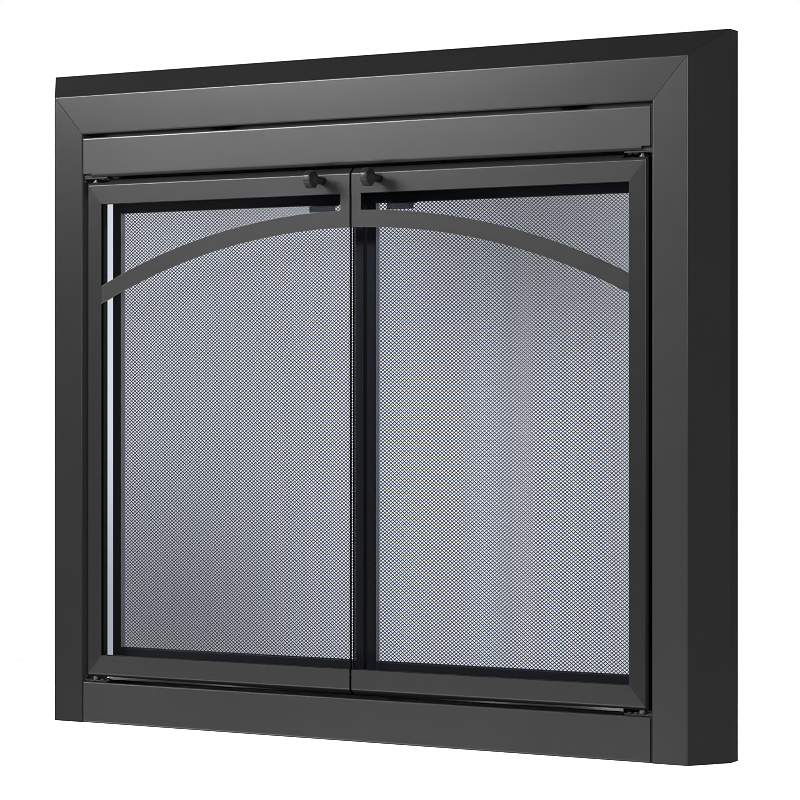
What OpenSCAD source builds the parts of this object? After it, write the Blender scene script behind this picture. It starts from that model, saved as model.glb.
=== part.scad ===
// Fireplace glass door: a trimmed steel front with a header, a lower panel, a pair of
// framed glass doors with an arched bar, and a pair of mesh screen doors behind them.
//
// Frame: X to the right, Y towards the room's wall, Z up, millimetres.
// Y = 0 is the wall that the trim's rear edge rests on, Z = 0 is the hearth, X = 0 the
// middle of the door pair. Depths d in this file count back from the flat front of the trim.

/* [Overall] */
// Width over the trim
overall_w = 952.5; // [880:0.5:1100]
// Height over the trim
overall_h = 838; // [760:1:960]
// Depth of the trim, from the wall to its flat front
trim_d = 69; // [60:0.5:84]

/* [Trim] */
// Width of the flat face of a side trim
side_face_w = 44.25; // [38:0.25:56]
// Height of the flat face of the top trim
top_face_h = 50.3; // [42:0.1:62]
// Width of the sloping band round the outside, seen from the front
slope_w = 33; // [24:0.5:42]
// Depth of the sloping band
slope_d = 46.5; // [36:0.5:52]
// Depth of the trim's inner return, which carries the panels
return_d = 55; // [48:1:58]
// Open seam at a mitred corner of the trim
mitre_gap = 0.3; // [0.1:0.1:0.8]
// Thickness of the sheet steel of trim, panels and doors
sheet_t = 1.5; // [1.2:0.1:2]

/* [Header and lower panel] */
// Height of the header's flat face
header_h = 47.5; // [38:0.5:60]
// Gap between the top trim and the header
header_gap = 4; // [2:0.5:7]
// Sloping lip along the header's lower edge
lip = 3.6; // [2.5:0.1:5]
// How far the lip's cut at each hinge goes up into the flat of the header
lip_cut_rise = 1.5; // [1:0.1:2.5]
// Height of the lower panel
sill_h = 52.6; // [44:0.2:64]
// Gap between a panel's face and the side trim
panel_gap = 1.8; // [1:0.1:3]
// Depth of the header's top flange and of the tabs at the ends of both panels
panel_flange_d = 30; // [24:1:34]
// Depth of the shelves that carry the hinges and the guard strips
shelf_d = 54; // [52:0.5:58]
// How far the lower panel's foot reaches past the wall line
foot_past_wall = 18; // [12:1:30]

/* [Glass doors] */
// Gap between a door and the side trim
door_side_gap = 4.8; // [4:0.1:7]
// Gap above and below a door at its hinges
door_end_gap = 7; // [6.6:0.1:9]
// How far the rails reach into that gap between the hinges and the middle
rail_rise = 3.8; // [2:0.1:4.4]
// Gap between the two doors
door_mid_gap = 3; // [1.6:0.1:4.4]
// How far the door's face lies behind the flat of the trim
door_set_back = 1; // [0:0.1:2]
// Depth of a door frame
door_t = 13.7; // [13:0.1:15]
// Sloping edge round the outside of a door frame
door_edge = 3.6; // [2.5:0.1:4.5]
// Width of the outer stile of a door, with its sloping edge
door_stile_w = 24; // [22:0.1:30]
// Height of the top and bottom rails of a door, with their sloping edge
door_rail_h = 27.7; // [26:0.1:34]
// Width of the short stub between top rail and arch, on each door
stub_w = 13; // [9:0.5:20]
// Drop from the top rail to the crown of the arch
arch_drop = 20.4; // [12:0.1:34]
// Fall of the arch from its crown to the outer stile
arch_fall = 84.5; // [50:0.5:120]
// Width of the arched bar
arch_w = 21; // [14:0.5:30]
// Thickness of the tempered glass
glass_t = 5; // [4:0.1:5.4]
// How far the glass stays back from the middle edge of its door
glass_set_back = 0.3; // [0.1:0.1:2]
// Lap of the glass behind the door frame
glass_lap = 7; // [5:0.1:7.4]
// Thickness of the gasket tape between frame and glass
tape_t = 0.7; // [0.4:0.1:1]
// Thickness of the retainers that hold the glass from behind
retainer_t = 1.2; // [0.8:0.1:1.5]

/* [Door knobs] */
// Size of the eight-sided knob across its flats
knob_size = 21.2; // [16:0.4:24]
// Thickness of the knob, along the door
knob_w = 9.6; // [6:0.1:14]
// Reach of the knob in front of the door's face
knob_reach = 37.5; // [30:0.5:46]
// Radius of the knob's stem
stem_r = 4.7; // [3.6:0.1:6]
// Distance from the knob to the middle of the door pair
knob_inset = 39.8; // [30:0.2:60]
// Distance from the top of a door to the middle of its knob
knob_drop = 11.2; // [9.5:0.1:14]

/* [Door hinges] */
// Radius of a door's pivot pin
pin_r = 2.5; // [2:0.1:2.8]
// Running clearance round every pivot pin
play = 0.05; // [0.03:0.01:0.08]
// Distance from the pivot to the outer side of the door
pin_inset = 10.2; // [9.5:0.1:11]
// Thickness of the hinge and screen brackets
bracket_t = 2; // [1.5:0.1:2.5]

/* [Screen doors] */
// Depth of the front of the screen doors behind the flat of the trim
screen_d = 36.6; // [35.5:0.1:37.4]
// Depth of a screen door frame in front of its mesh
screen_t = 9.4; // [8.6:0.1:9.8]
// Width of a screen door's frame bars
screen_bar = 12.8; // [11:0.1:16]
// How far the outer walls of a screen frame reach past its mesh
screen_wall_over = 1.9; // [1.2:0.1:2.5]
// Thickness of the screen door's frame sheet
screen_sheet_t = 1; // [0.7:0.1:1.2]
// Gap between a screen door and the side trim
screen_side_gap = 21; // [18:0.5:26]
// Gap between the two screen doors
screen_mid_gap = 4; // [2:0.5:8]
// Gap between the header's shelf and the top of a screen door
screen_top_gap = 32; // [29:0.5:40]
// Gap between the lower panel and the bottom of a screen door
screen_foot_gap = 29.8; // [26:0.2:38]
// Width of one diamond of the coarse net
net_w = 48; // [44:1:70]
// Height of one diamond of the coarse net
net_h = 64; // [60:1:90]
// Width of a strand of the net
strand_w = 3.5; // [2:0.1:6]
// Thickness of the net
net_t = 0.6; // [0.4:0.1:0.8]
// Radius of a screen door's pivot pin
screen_pin_r = 2; // [1.5:0.1:2.5]
// Width of a pull tab
tab_w = 37; // [25:0.5:50]
// Reach of a pull tab in front of the screen frame
tab_reach = 11; // [7:0.2:13]
// Height of the hanging lip of a pull tab
tab_h = 8.2; // [6:0.1:16]
// Drop of a pull tab's shelf below the rail that it is fixed to
tab_drop = 1.2; // [1:0.1:4]
// Distance from a pull tab's middle to the middle of the door pair
tab_inset = 55; // [45:0.5:75]

/* [Catches] */
// Distance from a catch to the middle of the door pair
catch_inset = 100; // [97:0.5:140]
// Width of a magnetic catch
catch_w = 34; // [28:0.5:44]
// Air gap between a magnet and its strike
catch_air = 0.4; // [0.3:0.1:0.8]
// Distance from a screen magnet to the middle of the door pair
screen_magnet_inset = 40; // [30:0.5:60]

/* [Lintel clamps] */
// Distance from a lintel clamp to the middle
clamp_inset = 250; // [150:1:330]
// Width of a lintel clamp's bracket
clamp_w = 36; // [28:0.5:50]
// Thickness of a lintel clamp's bracket
clamp_t = 3; // [2.5:0.1:4]
// Distance from the wall line to the upright of the bracket
clamp_reach = 42; // [30:0.5:60]
// Height of the clamp bolt above the header's shelf
clamp_h = 34; // [28:0.5:48]
// Distance from the wall line to the clamp's pad
clamp_pad_gap = 14; // [10:0.5:20]

/* [Hidden] */

// Colours, as the object shows them
charcoal = [0.16, 0.16, 0.16];
dark_steel = [0.07, 0.07, 0.07];
zinc = [0.62, 0.63, 0.65];
tint = [0.75, 0.76, 0.82, 0.35];
tape_grey = [0.2, 0.2, 0.2];
magnet_grey = [0.3, 0.3, 0.32];

// How finely round things are drawn
round_fn = 48;
arch_fn = 720;
bend_steps = 4;
// Outer radius of a bend in sheet steel
bend_r = sheet_t + 1;
// Small amount by which a cut passes the thing that it cuts
over = 1;
// Clearance between a resting collar or plate and its seat
rest_gap = 0.3;

// Trim: half widths and heights of its edges
x_out = overall_w / 2;
x_fold = x_out - slope_w;
x_in = x_fold - side_face_w;
z_out = overall_h;
z_fold = z_out - slope_w;
z_in = z_fold - top_face_h;

// Header and lower panel
z_header_top = z_in - header_gap;
z_header_foot = z_header_top - header_h;
z_shelf = z_header_foot - lip;
hearth_d = trim_d + foot_past_wall;

// Glass doors
d_face = door_set_back;
d_face_back = d_face + sheet_t;
d_glass = d_face_back + tape_t;
d_glass_back = d_glass + glass_t;
d_door_back = d_face + door_t;
x_door = x_in - door_side_gap;
x_open = x_door - door_stile_w;
x_mid = door_mid_gap / 2;
x_glass_mid = x_mid + glass_set_back;
z_door_top = z_shelf - door_end_gap;
z_door_foot = sill_h + door_end_gap;
z_open_top = z_door_top - door_rail_h;
z_open_foot = z_door_foot + door_rail_h;
z_glass_top = z_open_top + glass_lap;
z_glass_foot = z_open_foot - glass_lap;
x_glass = x_open + glass_lap;

// Arch: a circle through its crown and its ends at the two outer stiles
z_crown = z_open_top - arch_drop;
arch_r = (pow(x_open, 2) + pow(arch_fall, 2)) / (2 * arch_fall);
z_arch_centre = z_crown - arch_r;

// Door pivots
x_pin = x_door - pin_inset;
// The bush fills the depth between the sloping edge's bend and the retainer
d_bush_front = d_face + door_edge + 1;
d_bush_back = d_door_back - retainer_t;
d_pin = (d_bush_front + d_bush_back) / 2;
bush_r = (d_bush_back - d_bush_front) / 2 - 0.1;
bush_h = 12;
collar_r = pin_r + 1.9;
upper_collar_t = 1.6;
bracket_reach = 21;
bracket_x0 = x_pin - bracket_reach;
bracket_x1 = x_in;
// Where the rails step back to make room for the hinge brackets
x_step = bracket_x0 - 2;
bracket_d0 = lip + 0.4;
bracket_d1 = d_door_back + 3;
shelf_screw_r = 1.7;
shelf_screw_head_r = 3;
shelf_screw_head_t = 1.6;
bracket_screw_pitch = 8;
bracket_screw_x = x_pin - 9.5;
bracket_screw_d = d_pin + 2;
// Ear that turns from a hinge bracket along the trim's return, and its rivet
ear_t = 1.5;
ear_h = 5;
ear_d = 8;
rivet_r = 1.6;
rivet_head_r = 2.4;
rivet_head_t = 0.9;
rivet_d = bracket_d0 + ear_d / 2 - 1;

// Knobs
z_knob = z_door_top - knob_drop;
d_knob_front = d_face - knob_reach;
d_knob_back = d_knob_front + knob_size;
knob_screw_r = 2.5;
knob_screw_head_r = 3.6;
knob_screw_head_t = 3;
knob_screw_bite = 9;

// Screen doors
d_mesh = screen_d + screen_t;
d_screen_back = d_mesh + net_t;
d_wall_back = d_screen_back + screen_wall_over;
xs_out = x_in - screen_side_gap;
xs_mid = screen_mid_gap / 2;
zs_top = z_shelf - screen_top_gap;
zs_foot = sill_h + screen_foot_gap;
xs_pin = xs_out - screen_bar / 2;
ds_pin = (screen_d + screen_sheet_t + d_mesh) / 2;
screen_bend_r = screen_sheet_t + 0.4;
screen_plug_h = 14;
// Clearance of the plug in the stile, which passes the round inside of its bends
plug_gap = 0.2;
screen_collar_t = 0.8;
z_tab = zs_top - screen_bar - tab_drop;
tab_foot_h = tab_drop + 10;

// Guard strips close the gaps above and below the screens and stop them
d_guard = d_wall_back + 0.4;
guard_lap = 10.5;
guard_flange = 12;
screen_bracket_x0 = xs_pin - 8;
screen_bracket_d0 = screen_d - 0.4;
screen_bracket_gap = screen_collar_t + rest_gap;

// Catches
strike_t = 1.5;
strike_h = 15;
catch_rise = 16.5;
z_catch = z_open_top + catch_rise;
d_catch = d_door_back + strike_t + catch_air;
catch_d = 13;
catch_h = 13;
catch_flange_t = 2;
catch_flange_d = catch_d;
magnet_w = catch_w - 10;
magnet_h = 7;
magnet_d = 8;
catch_screw_offset = catch_w / 2 - 5;
screen_magnet_r = 4;
z_screen_magnet = zs_top - screen_bar / 2 + 0.5;
screen_magnet_over = 3;

// Lintel clamps
d_clamp = trim_d + clamp_reach;
clamp_bolt_r = 4;
clamp_head_r = 7.5;
clamp_head_t = 5.3;
clamp_pad_r = 10;
clamp_pad_t = 3;
clamp_nut_t = 6.5;
clamp_tail = 18;
lintel_bolt_r = 3;
lintel_bolt_head_r = 5.8;
lintel_bolt_head_t = 4;
lintel_bolt_d = d_guard - guard_flange / 2;
lintel_bolt_edge = 9;
d_clamp_front = lintel_bolt_d - lintel_bolt_edge;

// Corner brackets and panel screws
corner_leg = 72;
corner_leg_w = 22;
corner_t = 2;
stud_r = 2;
stud_nut_r = 3.8;
stud_nut_t = 3;
stud_h = 7;
panel_screw_r = 2;
panel_screw_head_r = 3.6;
panel_screw_head_t = 2;
panel_screw_l = 7;
panel_screw_pitch = 24;
panel_screw_d = 17;
panel_end_flange_w = 12;
anchor_inset = 330;
anchor_r = 3.3;
anchor_d = trim_d + foot_past_wall / 2;

// ---------------------------------------------------------------------------------
// Functions: bent sheet as a path of its outer skin, and the strip of metal behind it

function unit(v) = v / norm(v);

// Normal that points to the left of a direction: the hidden side of the sheet
function left_of(v) = [-v[1], v[0]];

// Arc of radius r that replaces corner b between a and c
function bend(a, b, c, r) =
    let (u = unit(a - b), v = unit(c - b),
         half = acos(max(-1, min(1, u * v))) / 2,
         centre = b + unit(u + v) * r / sin(half),
         start = b + u * r / tan(half) - centre,
         end = b + v * r / tan(half) - centre,
         from = atan2(start[1], start[0]),
         raw = atan2(end[1], end[0]) - from,
         sweep = raw > 180 ? raw - 360 : raw < -180 ? raw + 360 : raw)
    [for (k = [0 : bend_steps])
        centre + r * [cos(from + sweep * k / bend_steps), sin(from + sweep * k / bend_steps)]];

// The path with an arc of radius r at each bend
function bent(path, r) =
    [for (i = [0 : len(path) - 1])
        each (i == 0 || i == len(path) - 1 ? [path[i]] : bend(path[i - 1], path[i], path[i + 1], r))];

// Point of the hidden skin behind point i of the outer skin
function hidden_point(path, i, t) =
    let (last = len(path) - 1,
         before = left_of(unit(path[max(i, 1)] - path[max(i, 1) - 1])),
         after = left_of(unit(path[min(i, last - 1) + 1] - path[min(i, last - 1)])),
         both = before + after)
    path[i] + both * (2 * t / (both * both));

// Outline of sheet of thickness t behind a bent outer skin
function sheet_outline(path, t, r) =
    let (skin = bent(path, r), last = len(skin) - 1)
    concat(skin, [for (i = [last : -1 : 0]) hidden_point(skin, i, t)]);

// ---------------------------------------------------------------------------------
// Placing: profiles in plan (x, d), from the side (d, z) and from the front (x, z)

// A plan profile, raised from z0 to z1
module raise(z0, z1) translate([0, -trim_d, z0]) linear_extrude(z1 - z0) children();

// A side profile, drawn out from x0 to x1
module draw_out(x0, x1) translate([x0, -trim_d, 0]) rotate([90, 0, 90]) linear_extrude(x1 - x0) children();

// A front profile, from depth d0 to depth d1
module deepen(d0, d1) translate([0, d1 - trim_d, 0]) rotate([90, 0, 0]) linear_extrude(d1 - d0) children();

module block(x0, x1, d0, d1, z0, z1)
    translate([x0, d0 - trim_d, z0]) cube([x1 - x0, d1 - d0, z1 - z0]);

module rod_x(r, x0, x1, d, z)
    translate([x0, d - trim_d, z]) rotate([0, 90, 0]) cylinder(h = x1 - x0, r = r, $fn = round_fn);

module rod_d(r, x, d0, d1, z)
    translate([x, d0 - trim_d, z]) rotate([-90, 0, 0]) cylinder(h = d1 - d0, r = r, $fn = round_fn);

module rod_z(r, x, d, z0, z1)
    translate([x, d - trim_d, z0]) cylinder(h = z1 - z0, r = r, $fn = round_fn);

// Six-sided head or nut
module hex_d(r, x, d0, d1, z)
    translate([x, d0 - trim_d, z]) rotate([-90, 0, 0]) cylinder(h = d1 - d0, r = r, $fn = 6);

module hex_z(r, x, d, z0, z1)
    translate([x, d - trim_d, z0]) cylinder(h = z1 - z0, r = r, $fn = 6);

// Right-hand pieces are drawn at positive x, and the left-hand ones mirror them
module on_right() children();
module on_left() mirror([1, 0, 0]) children();
module on_both() {
    on_right() children();
    on_left() children();
}

// ---------------------------------------------------------------------------------
// Trim

// Front view of the part of the surround that belongs to the right-hand side trim
module side_region(drop)
    polygon([
        [x_in - over, -over], [x_in - over, z_in - over - drop], [x_in, z_in - drop],
        [x_fold, z_fold - drop], [x_out, z_out - drop], [x_out + over, z_out + over - drop],
        [x_out + over, -over]
    ]);

// Front view of the part that belongs to the top trim
module top_region(raise_by)
    polygon([
        [-x_in, z_in + raise_by], [x_in, z_in + raise_by], [x_fold, z_fold + raise_by],
        [x_out, z_out + raise_by], [x_out, z_out + over], [-x_out, z_out + over],
        [-x_out, z_out + raise_by], [-x_fold, z_fold + raise_by]
    ]);

// Heights and depths of the screws that hold a panel to the trim's return
function header_screw_zs() =
    let (middle = z_header_foot + header_h / 2)
    [middle - panel_screw_pitch / 2, middle + panel_screw_pitch / 2];

function sill_screw_zs() = [sill_h / 2 - panel_screw_pitch / 2, sill_h / 2 + panel_screw_pitch / 2];

module panel_screw_holes(zs)
    for (z = zs)
        rod_x(panel_screw_r + 0.1, x_in - sheet_t - over, x_in + sheet_t + over, panel_screw_d, z);

module side_trim()
    color(charcoal)
        difference() {
            intersection() {
                raise(0, z_out)
                    polygon(sheet_outline([
                        [x_in, return_d], [x_in, 0], [x_fold, 0], [x_out, slope_d], [x_out, trim_d]
                    ], sheet_t, bend_r));
                deepen(-over, trim_d + over) side_region(mitre_gap / 2);
            }
            panel_screw_holes(concat(header_screw_zs(), sill_screw_zs()));
            for (z = rivet_zs())
                rod_x(rivet_r + 0.1, x_in - over, x_in + sheet_t + over, rivet_d, z);
        }

module top_trim()
    color(charcoal)
        intersection() {
            draw_out(-x_out, x_out)
                polygon(sheet_outline([
                    [trim_d, z_out], [slope_d, z_out], [0, z_fold], [0, z_in], [return_d, z_in]
                ], sheet_t, bend_r));
            deepen(-over, trim_d + over) top_region(mitre_gap / 2);
        }

// Places of the four studs of a corner bracket, as [x, z]
function corner_x() = x_in + side_face_w / 2;
function corner_z() = z_in + top_face_h / 2;
function stud_places() = [
    [corner_x(), corner_z() - corner_leg + 10], [corner_x(), corner_z() - corner_leg / 2],
    [corner_x() - corner_leg + 10, corner_z()], [corner_x() - corner_leg / 2, corner_z()]
];

module corner_bracket()
    color(zinc)
        difference() {
            deepen(sheet_t, sheet_t + corner_t) {
                translate([corner_x() - corner_leg_w / 2, corner_z() - corner_leg])
                    square([corner_leg_w, corner_leg + corner_leg_w / 2]);
                translate([corner_x() - corner_leg, corner_z() - corner_leg_w / 2])
                    square([corner_leg + corner_leg_w / 2, corner_leg_w]);
            }
            for (p = stud_places())
                rod_d(stud_r + 0.1, p[0], sheet_t - over, sheet_t + corner_t + over, p[1]);
        }

module corner_stud_set()
    color(zinc)
        for (p = stud_places()) {
            rod_d(stud_r, p[0], sheet_t, sheet_t + stud_h, p[1]);
            hex_d(stud_nut_r, p[0], sheet_t + corner_t, sheet_t + corner_t + stud_nut_t, p[1]);
        }

// ---------------------------------------------------------------------------------
// Header and lower panel

// Cuts that leave a narrow gap between the panel's face and the side trim
module face_end_cuts(z0, z1)
    on_both() block(x_in - panel_gap, x_in + over, -over, sheet_t, z0, z1);

// Angle at each end of a panel: a tab on the trim's inner return and a flange behind the face
module end_tabs(z0, z1)
    on_both() {
        block(x_in - sheet_t, x_in, sheet_t, panel_flange_d, z0, z1);
        block(x_in - panel_end_flange_w, x_in, sheet_t, 2 * sheet_t, z0, z1);
    }

module header_panel()
    color(charcoal)
        difference() {
            union() {
                draw_out(-x_in, x_in)
                    polygon(sheet_outline([
                        [panel_flange_d, z_header_top], [0, z_header_top], [0, z_header_foot],
                        [lip, z_shelf], [shelf_d, z_shelf]
                    ], sheet_t, bend_r));
                end_tabs(z_shelf + sheet_t / 2, z_header_top - sheet_t / 2);
            }
            face_end_cuts(z_shelf - over, z_header_top + over);
            // the lip and the foot of the flat stop short of the hinges
            on_both() block(x_pin + 2, x_in + over, -over, lip, z_shelf - over, z_header_foot + lip_cut_rise);
            on_both() panel_screw_holes(header_screw_zs());
            // bolts of the lintel brackets
            on_both() rod_z(lintel_bolt_r + 0.2, clamp_inset, lintel_bolt_d, z_shelf - over, z_shelf + sheet_t + over);
            on_both() shelf_screw_holes(z_shelf);
            on_both() catch_screw_holes();
        }

module lower_panel()
    color(charcoal)
        difference() {
            union() {
                draw_out(-x_in, x_in)
                    polygon(sheet_outline([
                        [shelf_d, sill_h], [0, sill_h], [0, 0], [hearth_d, 0]
                    ], sheet_t, bend_r));
                end_tabs(sheet_t / 2, sill_h - sheet_t / 2);
            }
            face_end_cuts(-over, sill_h + over);
            on_both() panel_screw_holes(sill_screw_zs());
            on_both() rod_z(anchor_r, anchor_inset, anchor_d, -over, sheet_t + over);
            on_both() shelf_screw_holes(sill_h - sheet_t);
        }

module panel_screw_set()
    color(zinc)
        for (z = concat(header_screw_zs(), sill_screw_zs())) {
            rod_x(panel_screw_r, x_in - sheet_t, x_in - sheet_t + panel_screw_l, panel_screw_d, z);
            rod_x(panel_screw_head_r, x_in - sheet_t - panel_screw_head_t, x_in - sheet_t, panel_screw_d, z);
        }

// ---------------------------------------------------------------------------------
// Guard strips and screen brackets

// Web of a guard strip between z0 and z1, narrower where the screens' hinge edges swing past it
module guard_web(z0, z1, z_narrow0, z_narrow1)
    difference() {
        block(-xs_out, xs_out, d_guard, d_guard + sheet_t, z0, z1);
        on_both() block(screen_bracket_x0, xs_out + over, d_guard - over, d_guard + sheet_t + over, z_narrow0, z_narrow1);
    }

module upper_guard_strip()
    color(dark_steel)
        difference() {
            union() {
                guard_web(zs_top - guard_lap, z_shelf, zs_top - guard_lap - over, zs_top + screen_bracket_gap);
                block(-xs_out, xs_out, d_guard - guard_flange, d_guard + sheet_t, z_shelf - sheet_t, z_shelf);
            }
            on_both() {
                rod_d(screen_magnet_r + play, screen_magnet_inset, d_guard - over, d_guard + sheet_t + over,
                      z_screen_magnet);
                rod_z(lintel_bolt_r + 0.2, clamp_inset, lintel_bolt_d, z_shelf - sheet_t - over, z_shelf + over);
            }
        }

module lower_guard_strip()
    color(dark_steel) {
        guard_web(sill_h, zs_foot + guard_lap, zs_foot - screen_bracket_gap, zs_foot + guard_lap + over);
        block(-xs_out, xs_out, d_guard - guard_flange, d_guard + sheet_t, sill_h, sill_h + sheet_t);
    }

module screen_magnet()
    color(magnet_grey)
        rod_d(screen_magnet_r, screen_magnet_inset, d_screen_back + catch_air,
              d_guard + sheet_t + screen_magnet_over, z_screen_magnet);

// One bracket plate above and one below each screen door, with the pin's bore
module screen_bracket_pair()
    color(zinc)
        for (z = [zs_top + screen_bracket_gap, zs_foot - screen_bracket_gap - bracket_t])
            difference() {
                block(screen_bracket_x0, xs_out, screen_bracket_d0, d_guard, z, z + bracket_t);
                rod_z(screen_pin_r + play, xs_pin, ds_pin, z - over, z + bracket_t + over);
            }

// ---------------------------------------------------------------------------------
// Door hinge brackets on the shelves

function bracket_screw_xs() = [bracket_screw_x, bracket_screw_x - bracket_screw_pitch];

// Heights of the rivets in the ears of the upper and the lower hinge bracket
function rivet_zs() = [z_shelf - bracket_t - ear_h / 2, sill_h + bracket_t + ear_h / 2];

// Screw holes through sheet and bracket above or below height z
module shelf_screw_holes(z)
    for (x = bracket_screw_xs())
        rod_z(shelf_screw_r + 0.1, x, bracket_screw_d, z - bracket_t - over, z + sheet_t + bracket_t + over);

module door_bracket_pair()
    color(dark_steel)
        difference() {
            union() {
                block(bracket_x0, bracket_x1, bracket_d0, bracket_d1, z_shelf - bracket_t, z_shelf);
                block(bracket_x0, bracket_x1, bracket_d0, bracket_d1, sill_h, sill_h + bracket_t);
                block(x_in - ear_t, x_in, bracket_d0, bracket_d0 + ear_d, z_shelf - bracket_t - ear_h, z_shelf);
                block(x_in - ear_t, x_in, bracket_d0, bracket_d0 + ear_d, sill_h, sill_h + bracket_t + ear_h);
            }
            for (z = rivet_zs())
                rod_x(rivet_r + 0.1, x_in - ear_t - over, x_in + over, rivet_d, z);
            rod_z(pin_r + play, x_pin, d_pin, z_shelf - bracket_t - over, z_shelf + over);
            rod_z(pin_r + play, x_pin, d_pin, sill_h - over, sill_h + bracket_t + over);
            shelf_screw_holes(z_shelf - sheet_t);
            shelf_screw_holes(sill_h);
        }

module bracket_rivet_pair()
    color(zinc)
        for (z = rivet_zs()) {
            rod_x(rivet_r, x_in - ear_t, x_in + sheet_t, rivet_d, z);
            rod_x(rivet_head_r, x_in - ear_t - rivet_head_t, x_in - ear_t, rivet_d, z);
            rod_x(rivet_head_r, x_in + sheet_t, x_in + sheet_t + rivet_head_t, rivet_d, z);
        }

// Catches: places of their two screws
function catch_screw_xs() = [catch_inset - catch_screw_offset, catch_inset + catch_screw_offset];

module catch_screw_holes()
    for (x = catch_screw_xs())
        rod_z(shelf_screw_r + 0.1, x, d_catch + catch_d / 2, z_shelf - catch_flange_t - over, z_shelf + sheet_t + over);

module shelf_screw(x, d, z_head, up)
    translate([0, 0, z_head]) mirror([0, 0, up ? 0 : 1]) {
        rod_z(shelf_screw_r, x, d, 0, bracket_t + sheet_t + 2);
        rod_z(shelf_screw_head_r, x, d, -shelf_screw_head_t, 0);
    }

module shelf_screw_set()
    color(zinc) {
        for (x = bracket_screw_xs()) {
            shelf_screw(x, bracket_screw_d, z_shelf - bracket_t, true);
            shelf_screw(x, bracket_screw_d, sill_h + bracket_t, false);
        }
        for (x = catch_screw_xs())
            shelf_screw(x, d_catch + catch_d / 2, z_shelf - catch_flange_t, true);
    }

// ---------------------------------------------------------------------------------
// Magnetic catches for the glass doors

module catch_housing()
    color(dark_steel)
        difference() {
            union() {
                block(catch_inset - magnet_w / 2 - 2, catch_inset + magnet_w / 2 + 2, d_catch + 0.2, d_catch + catch_d,
                      z_catch - catch_h / 2, z_shelf - shelf_screw_head_t - catch_flange_t - 0.6);
                block(catch_inset - 6, catch_inset + 6, d_catch + 2, d_catch + catch_d, z_catch, z_shelf);
                block(catch_inset - catch_w / 2, catch_inset + catch_w / 2, d_catch + 0.2, d_catch + catch_flange_d,
                      z_shelf - catch_flange_t, z_shelf);
            }
            block(catch_inset - magnet_w / 2, catch_inset + magnet_w / 2, d_catch - over, d_catch + magnet_d,
                  z_catch - magnet_h / 2, z_catch + magnet_h / 2);
            catch_screw_holes();
        }

module catch_magnet()
    color(magnet_grey)
        block(catch_inset - magnet_w / 2, catch_inset + magnet_w / 2, d_catch, d_catch + magnet_d,
              z_catch - magnet_h / 2, z_catch + magnet_h / 2);

// ---------------------------------------------------------------------------------
// Lintel clamps: a bracket on the header's shelf, and a bolt that draws the trim to the wall

module lintel_bracket()
    color(zinc)
        difference() {
            union() {
                block(clamp_inset - clamp_w / 2, clamp_inset + clamp_w / 2, d_clamp_front, d_clamp,
                      z_shelf + sheet_t, z_shelf + sheet_t + clamp_t);
                block(clamp_inset - clamp_w / 2, clamp_inset + clamp_w / 2, d_clamp - clamp_t, d_clamp,
                      z_shelf + sheet_t, z_shelf + sheet_t + clamp_h + clamp_w / 2);
                hex_d(clamp_head_r, clamp_inset, d_clamp, d_clamp + clamp_nut_t, z_shelf + sheet_t + clamp_h);
            }
            rod_d(clamp_bolt_r + play, clamp_inset, d_clamp - clamp_t - over, d_clamp + clamp_nut_t + over,
                  z_shelf + sheet_t + clamp_h);
            rod_z(lintel_bolt_r + 0.2, clamp_inset, lintel_bolt_d, z_shelf, z_shelf + sheet_t + clamp_t + over);
        }

module lintel_bracket_bolt()
    color(zinc) {
        rod_z(lintel_bolt_r, clamp_inset, lintel_bolt_d, z_shelf - sheet_t, z_shelf + sheet_t + clamp_t + 7);
        hex_z(lintel_bolt_head_r, clamp_inset, lintel_bolt_d, z_shelf - sheet_t - lintel_bolt_head_t,
              z_shelf - sheet_t);
        hex_z(lintel_bolt_head_r, clamp_inset, lintel_bolt_d, z_shelf + sheet_t + clamp_t,
              z_shelf + sheet_t + clamp_t + 5);
    }

module clamp_bolt()
    color(zinc) {
        rod_d(clamp_bolt_r, clamp_inset, trim_d + clamp_pad_gap + clamp_pad_t, d_clamp + clamp_nut_t + clamp_tail,
              z_shelf + sheet_t + clamp_h);
        hex_d(clamp_head_r, clamp_inset, d_clamp + clamp_nut_t + clamp_tail,
              d_clamp + clamp_nut_t + clamp_tail + clamp_head_t, z_shelf + sheet_t + clamp_h);
    }

module clamp_pad()
    color(dark_steel)
        rod_d(clamp_pad_r, clamp_inset, trim_d + clamp_pad_gap, trim_d + clamp_pad_gap + clamp_pad_t,
              z_shelf + sheet_t + clamp_h);

// ---------------------------------------------------------------------------------
// Glass doors, drawn as the right-hand one

// Paths of the rails: they keep their full height up to x_step, and are lower at the hinges
function top_rail_path(rise) = [
    [d_door_back, z_door_top + rise], [d_face + door_edge + rise, z_door_top + rise],
    [d_face, z_door_top - door_edge], [d_face, z_open_top]
];

function bottom_rail_path(rise) = [
    [d_face, z_open_foot], [d_face, z_door_foot + door_edge],
    [d_face + door_edge + rise, z_door_foot - rise], [d_door_back, z_door_foot - rise]
];

// Front view of the right-hand stile between its mitres
module stile_region()
    polygon([
        [x_open, z_open_foot], [x_door - door_edge, z_door_foot + door_edge], [x_door, z_door_foot],
        [x_door + over, z_door_foot], [x_door + over, z_door_top], [x_door, z_door_top],
        [x_door - door_edge, z_door_top - door_edge], [x_open, z_open_top]
    ]);

module door_stile()
    color(charcoal)
        intersection() {
            raise(z_door_foot, z_door_top)
                polygon(sheet_outline([
                    [x_open, d_face], [x_door - door_edge, d_face],
                    [x_door, d_face + door_edge], [x_door, d_door_back]
                ], sheet_t, bend_r));
            deepen(-over, d_door_back + over) stile_region();
        }

// The two lengths of sheet of a rail: the full one and the lower one at the hinge
module rail_sheets(full_path, low_path) {
    draw_out(x_mid, x_step) polygon(sheet_outline(full_path, sheet_t, bend_r));
    draw_out(x_step, x_door) polygon(sheet_outline(low_path, sheet_t, bend_r));
}

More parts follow.
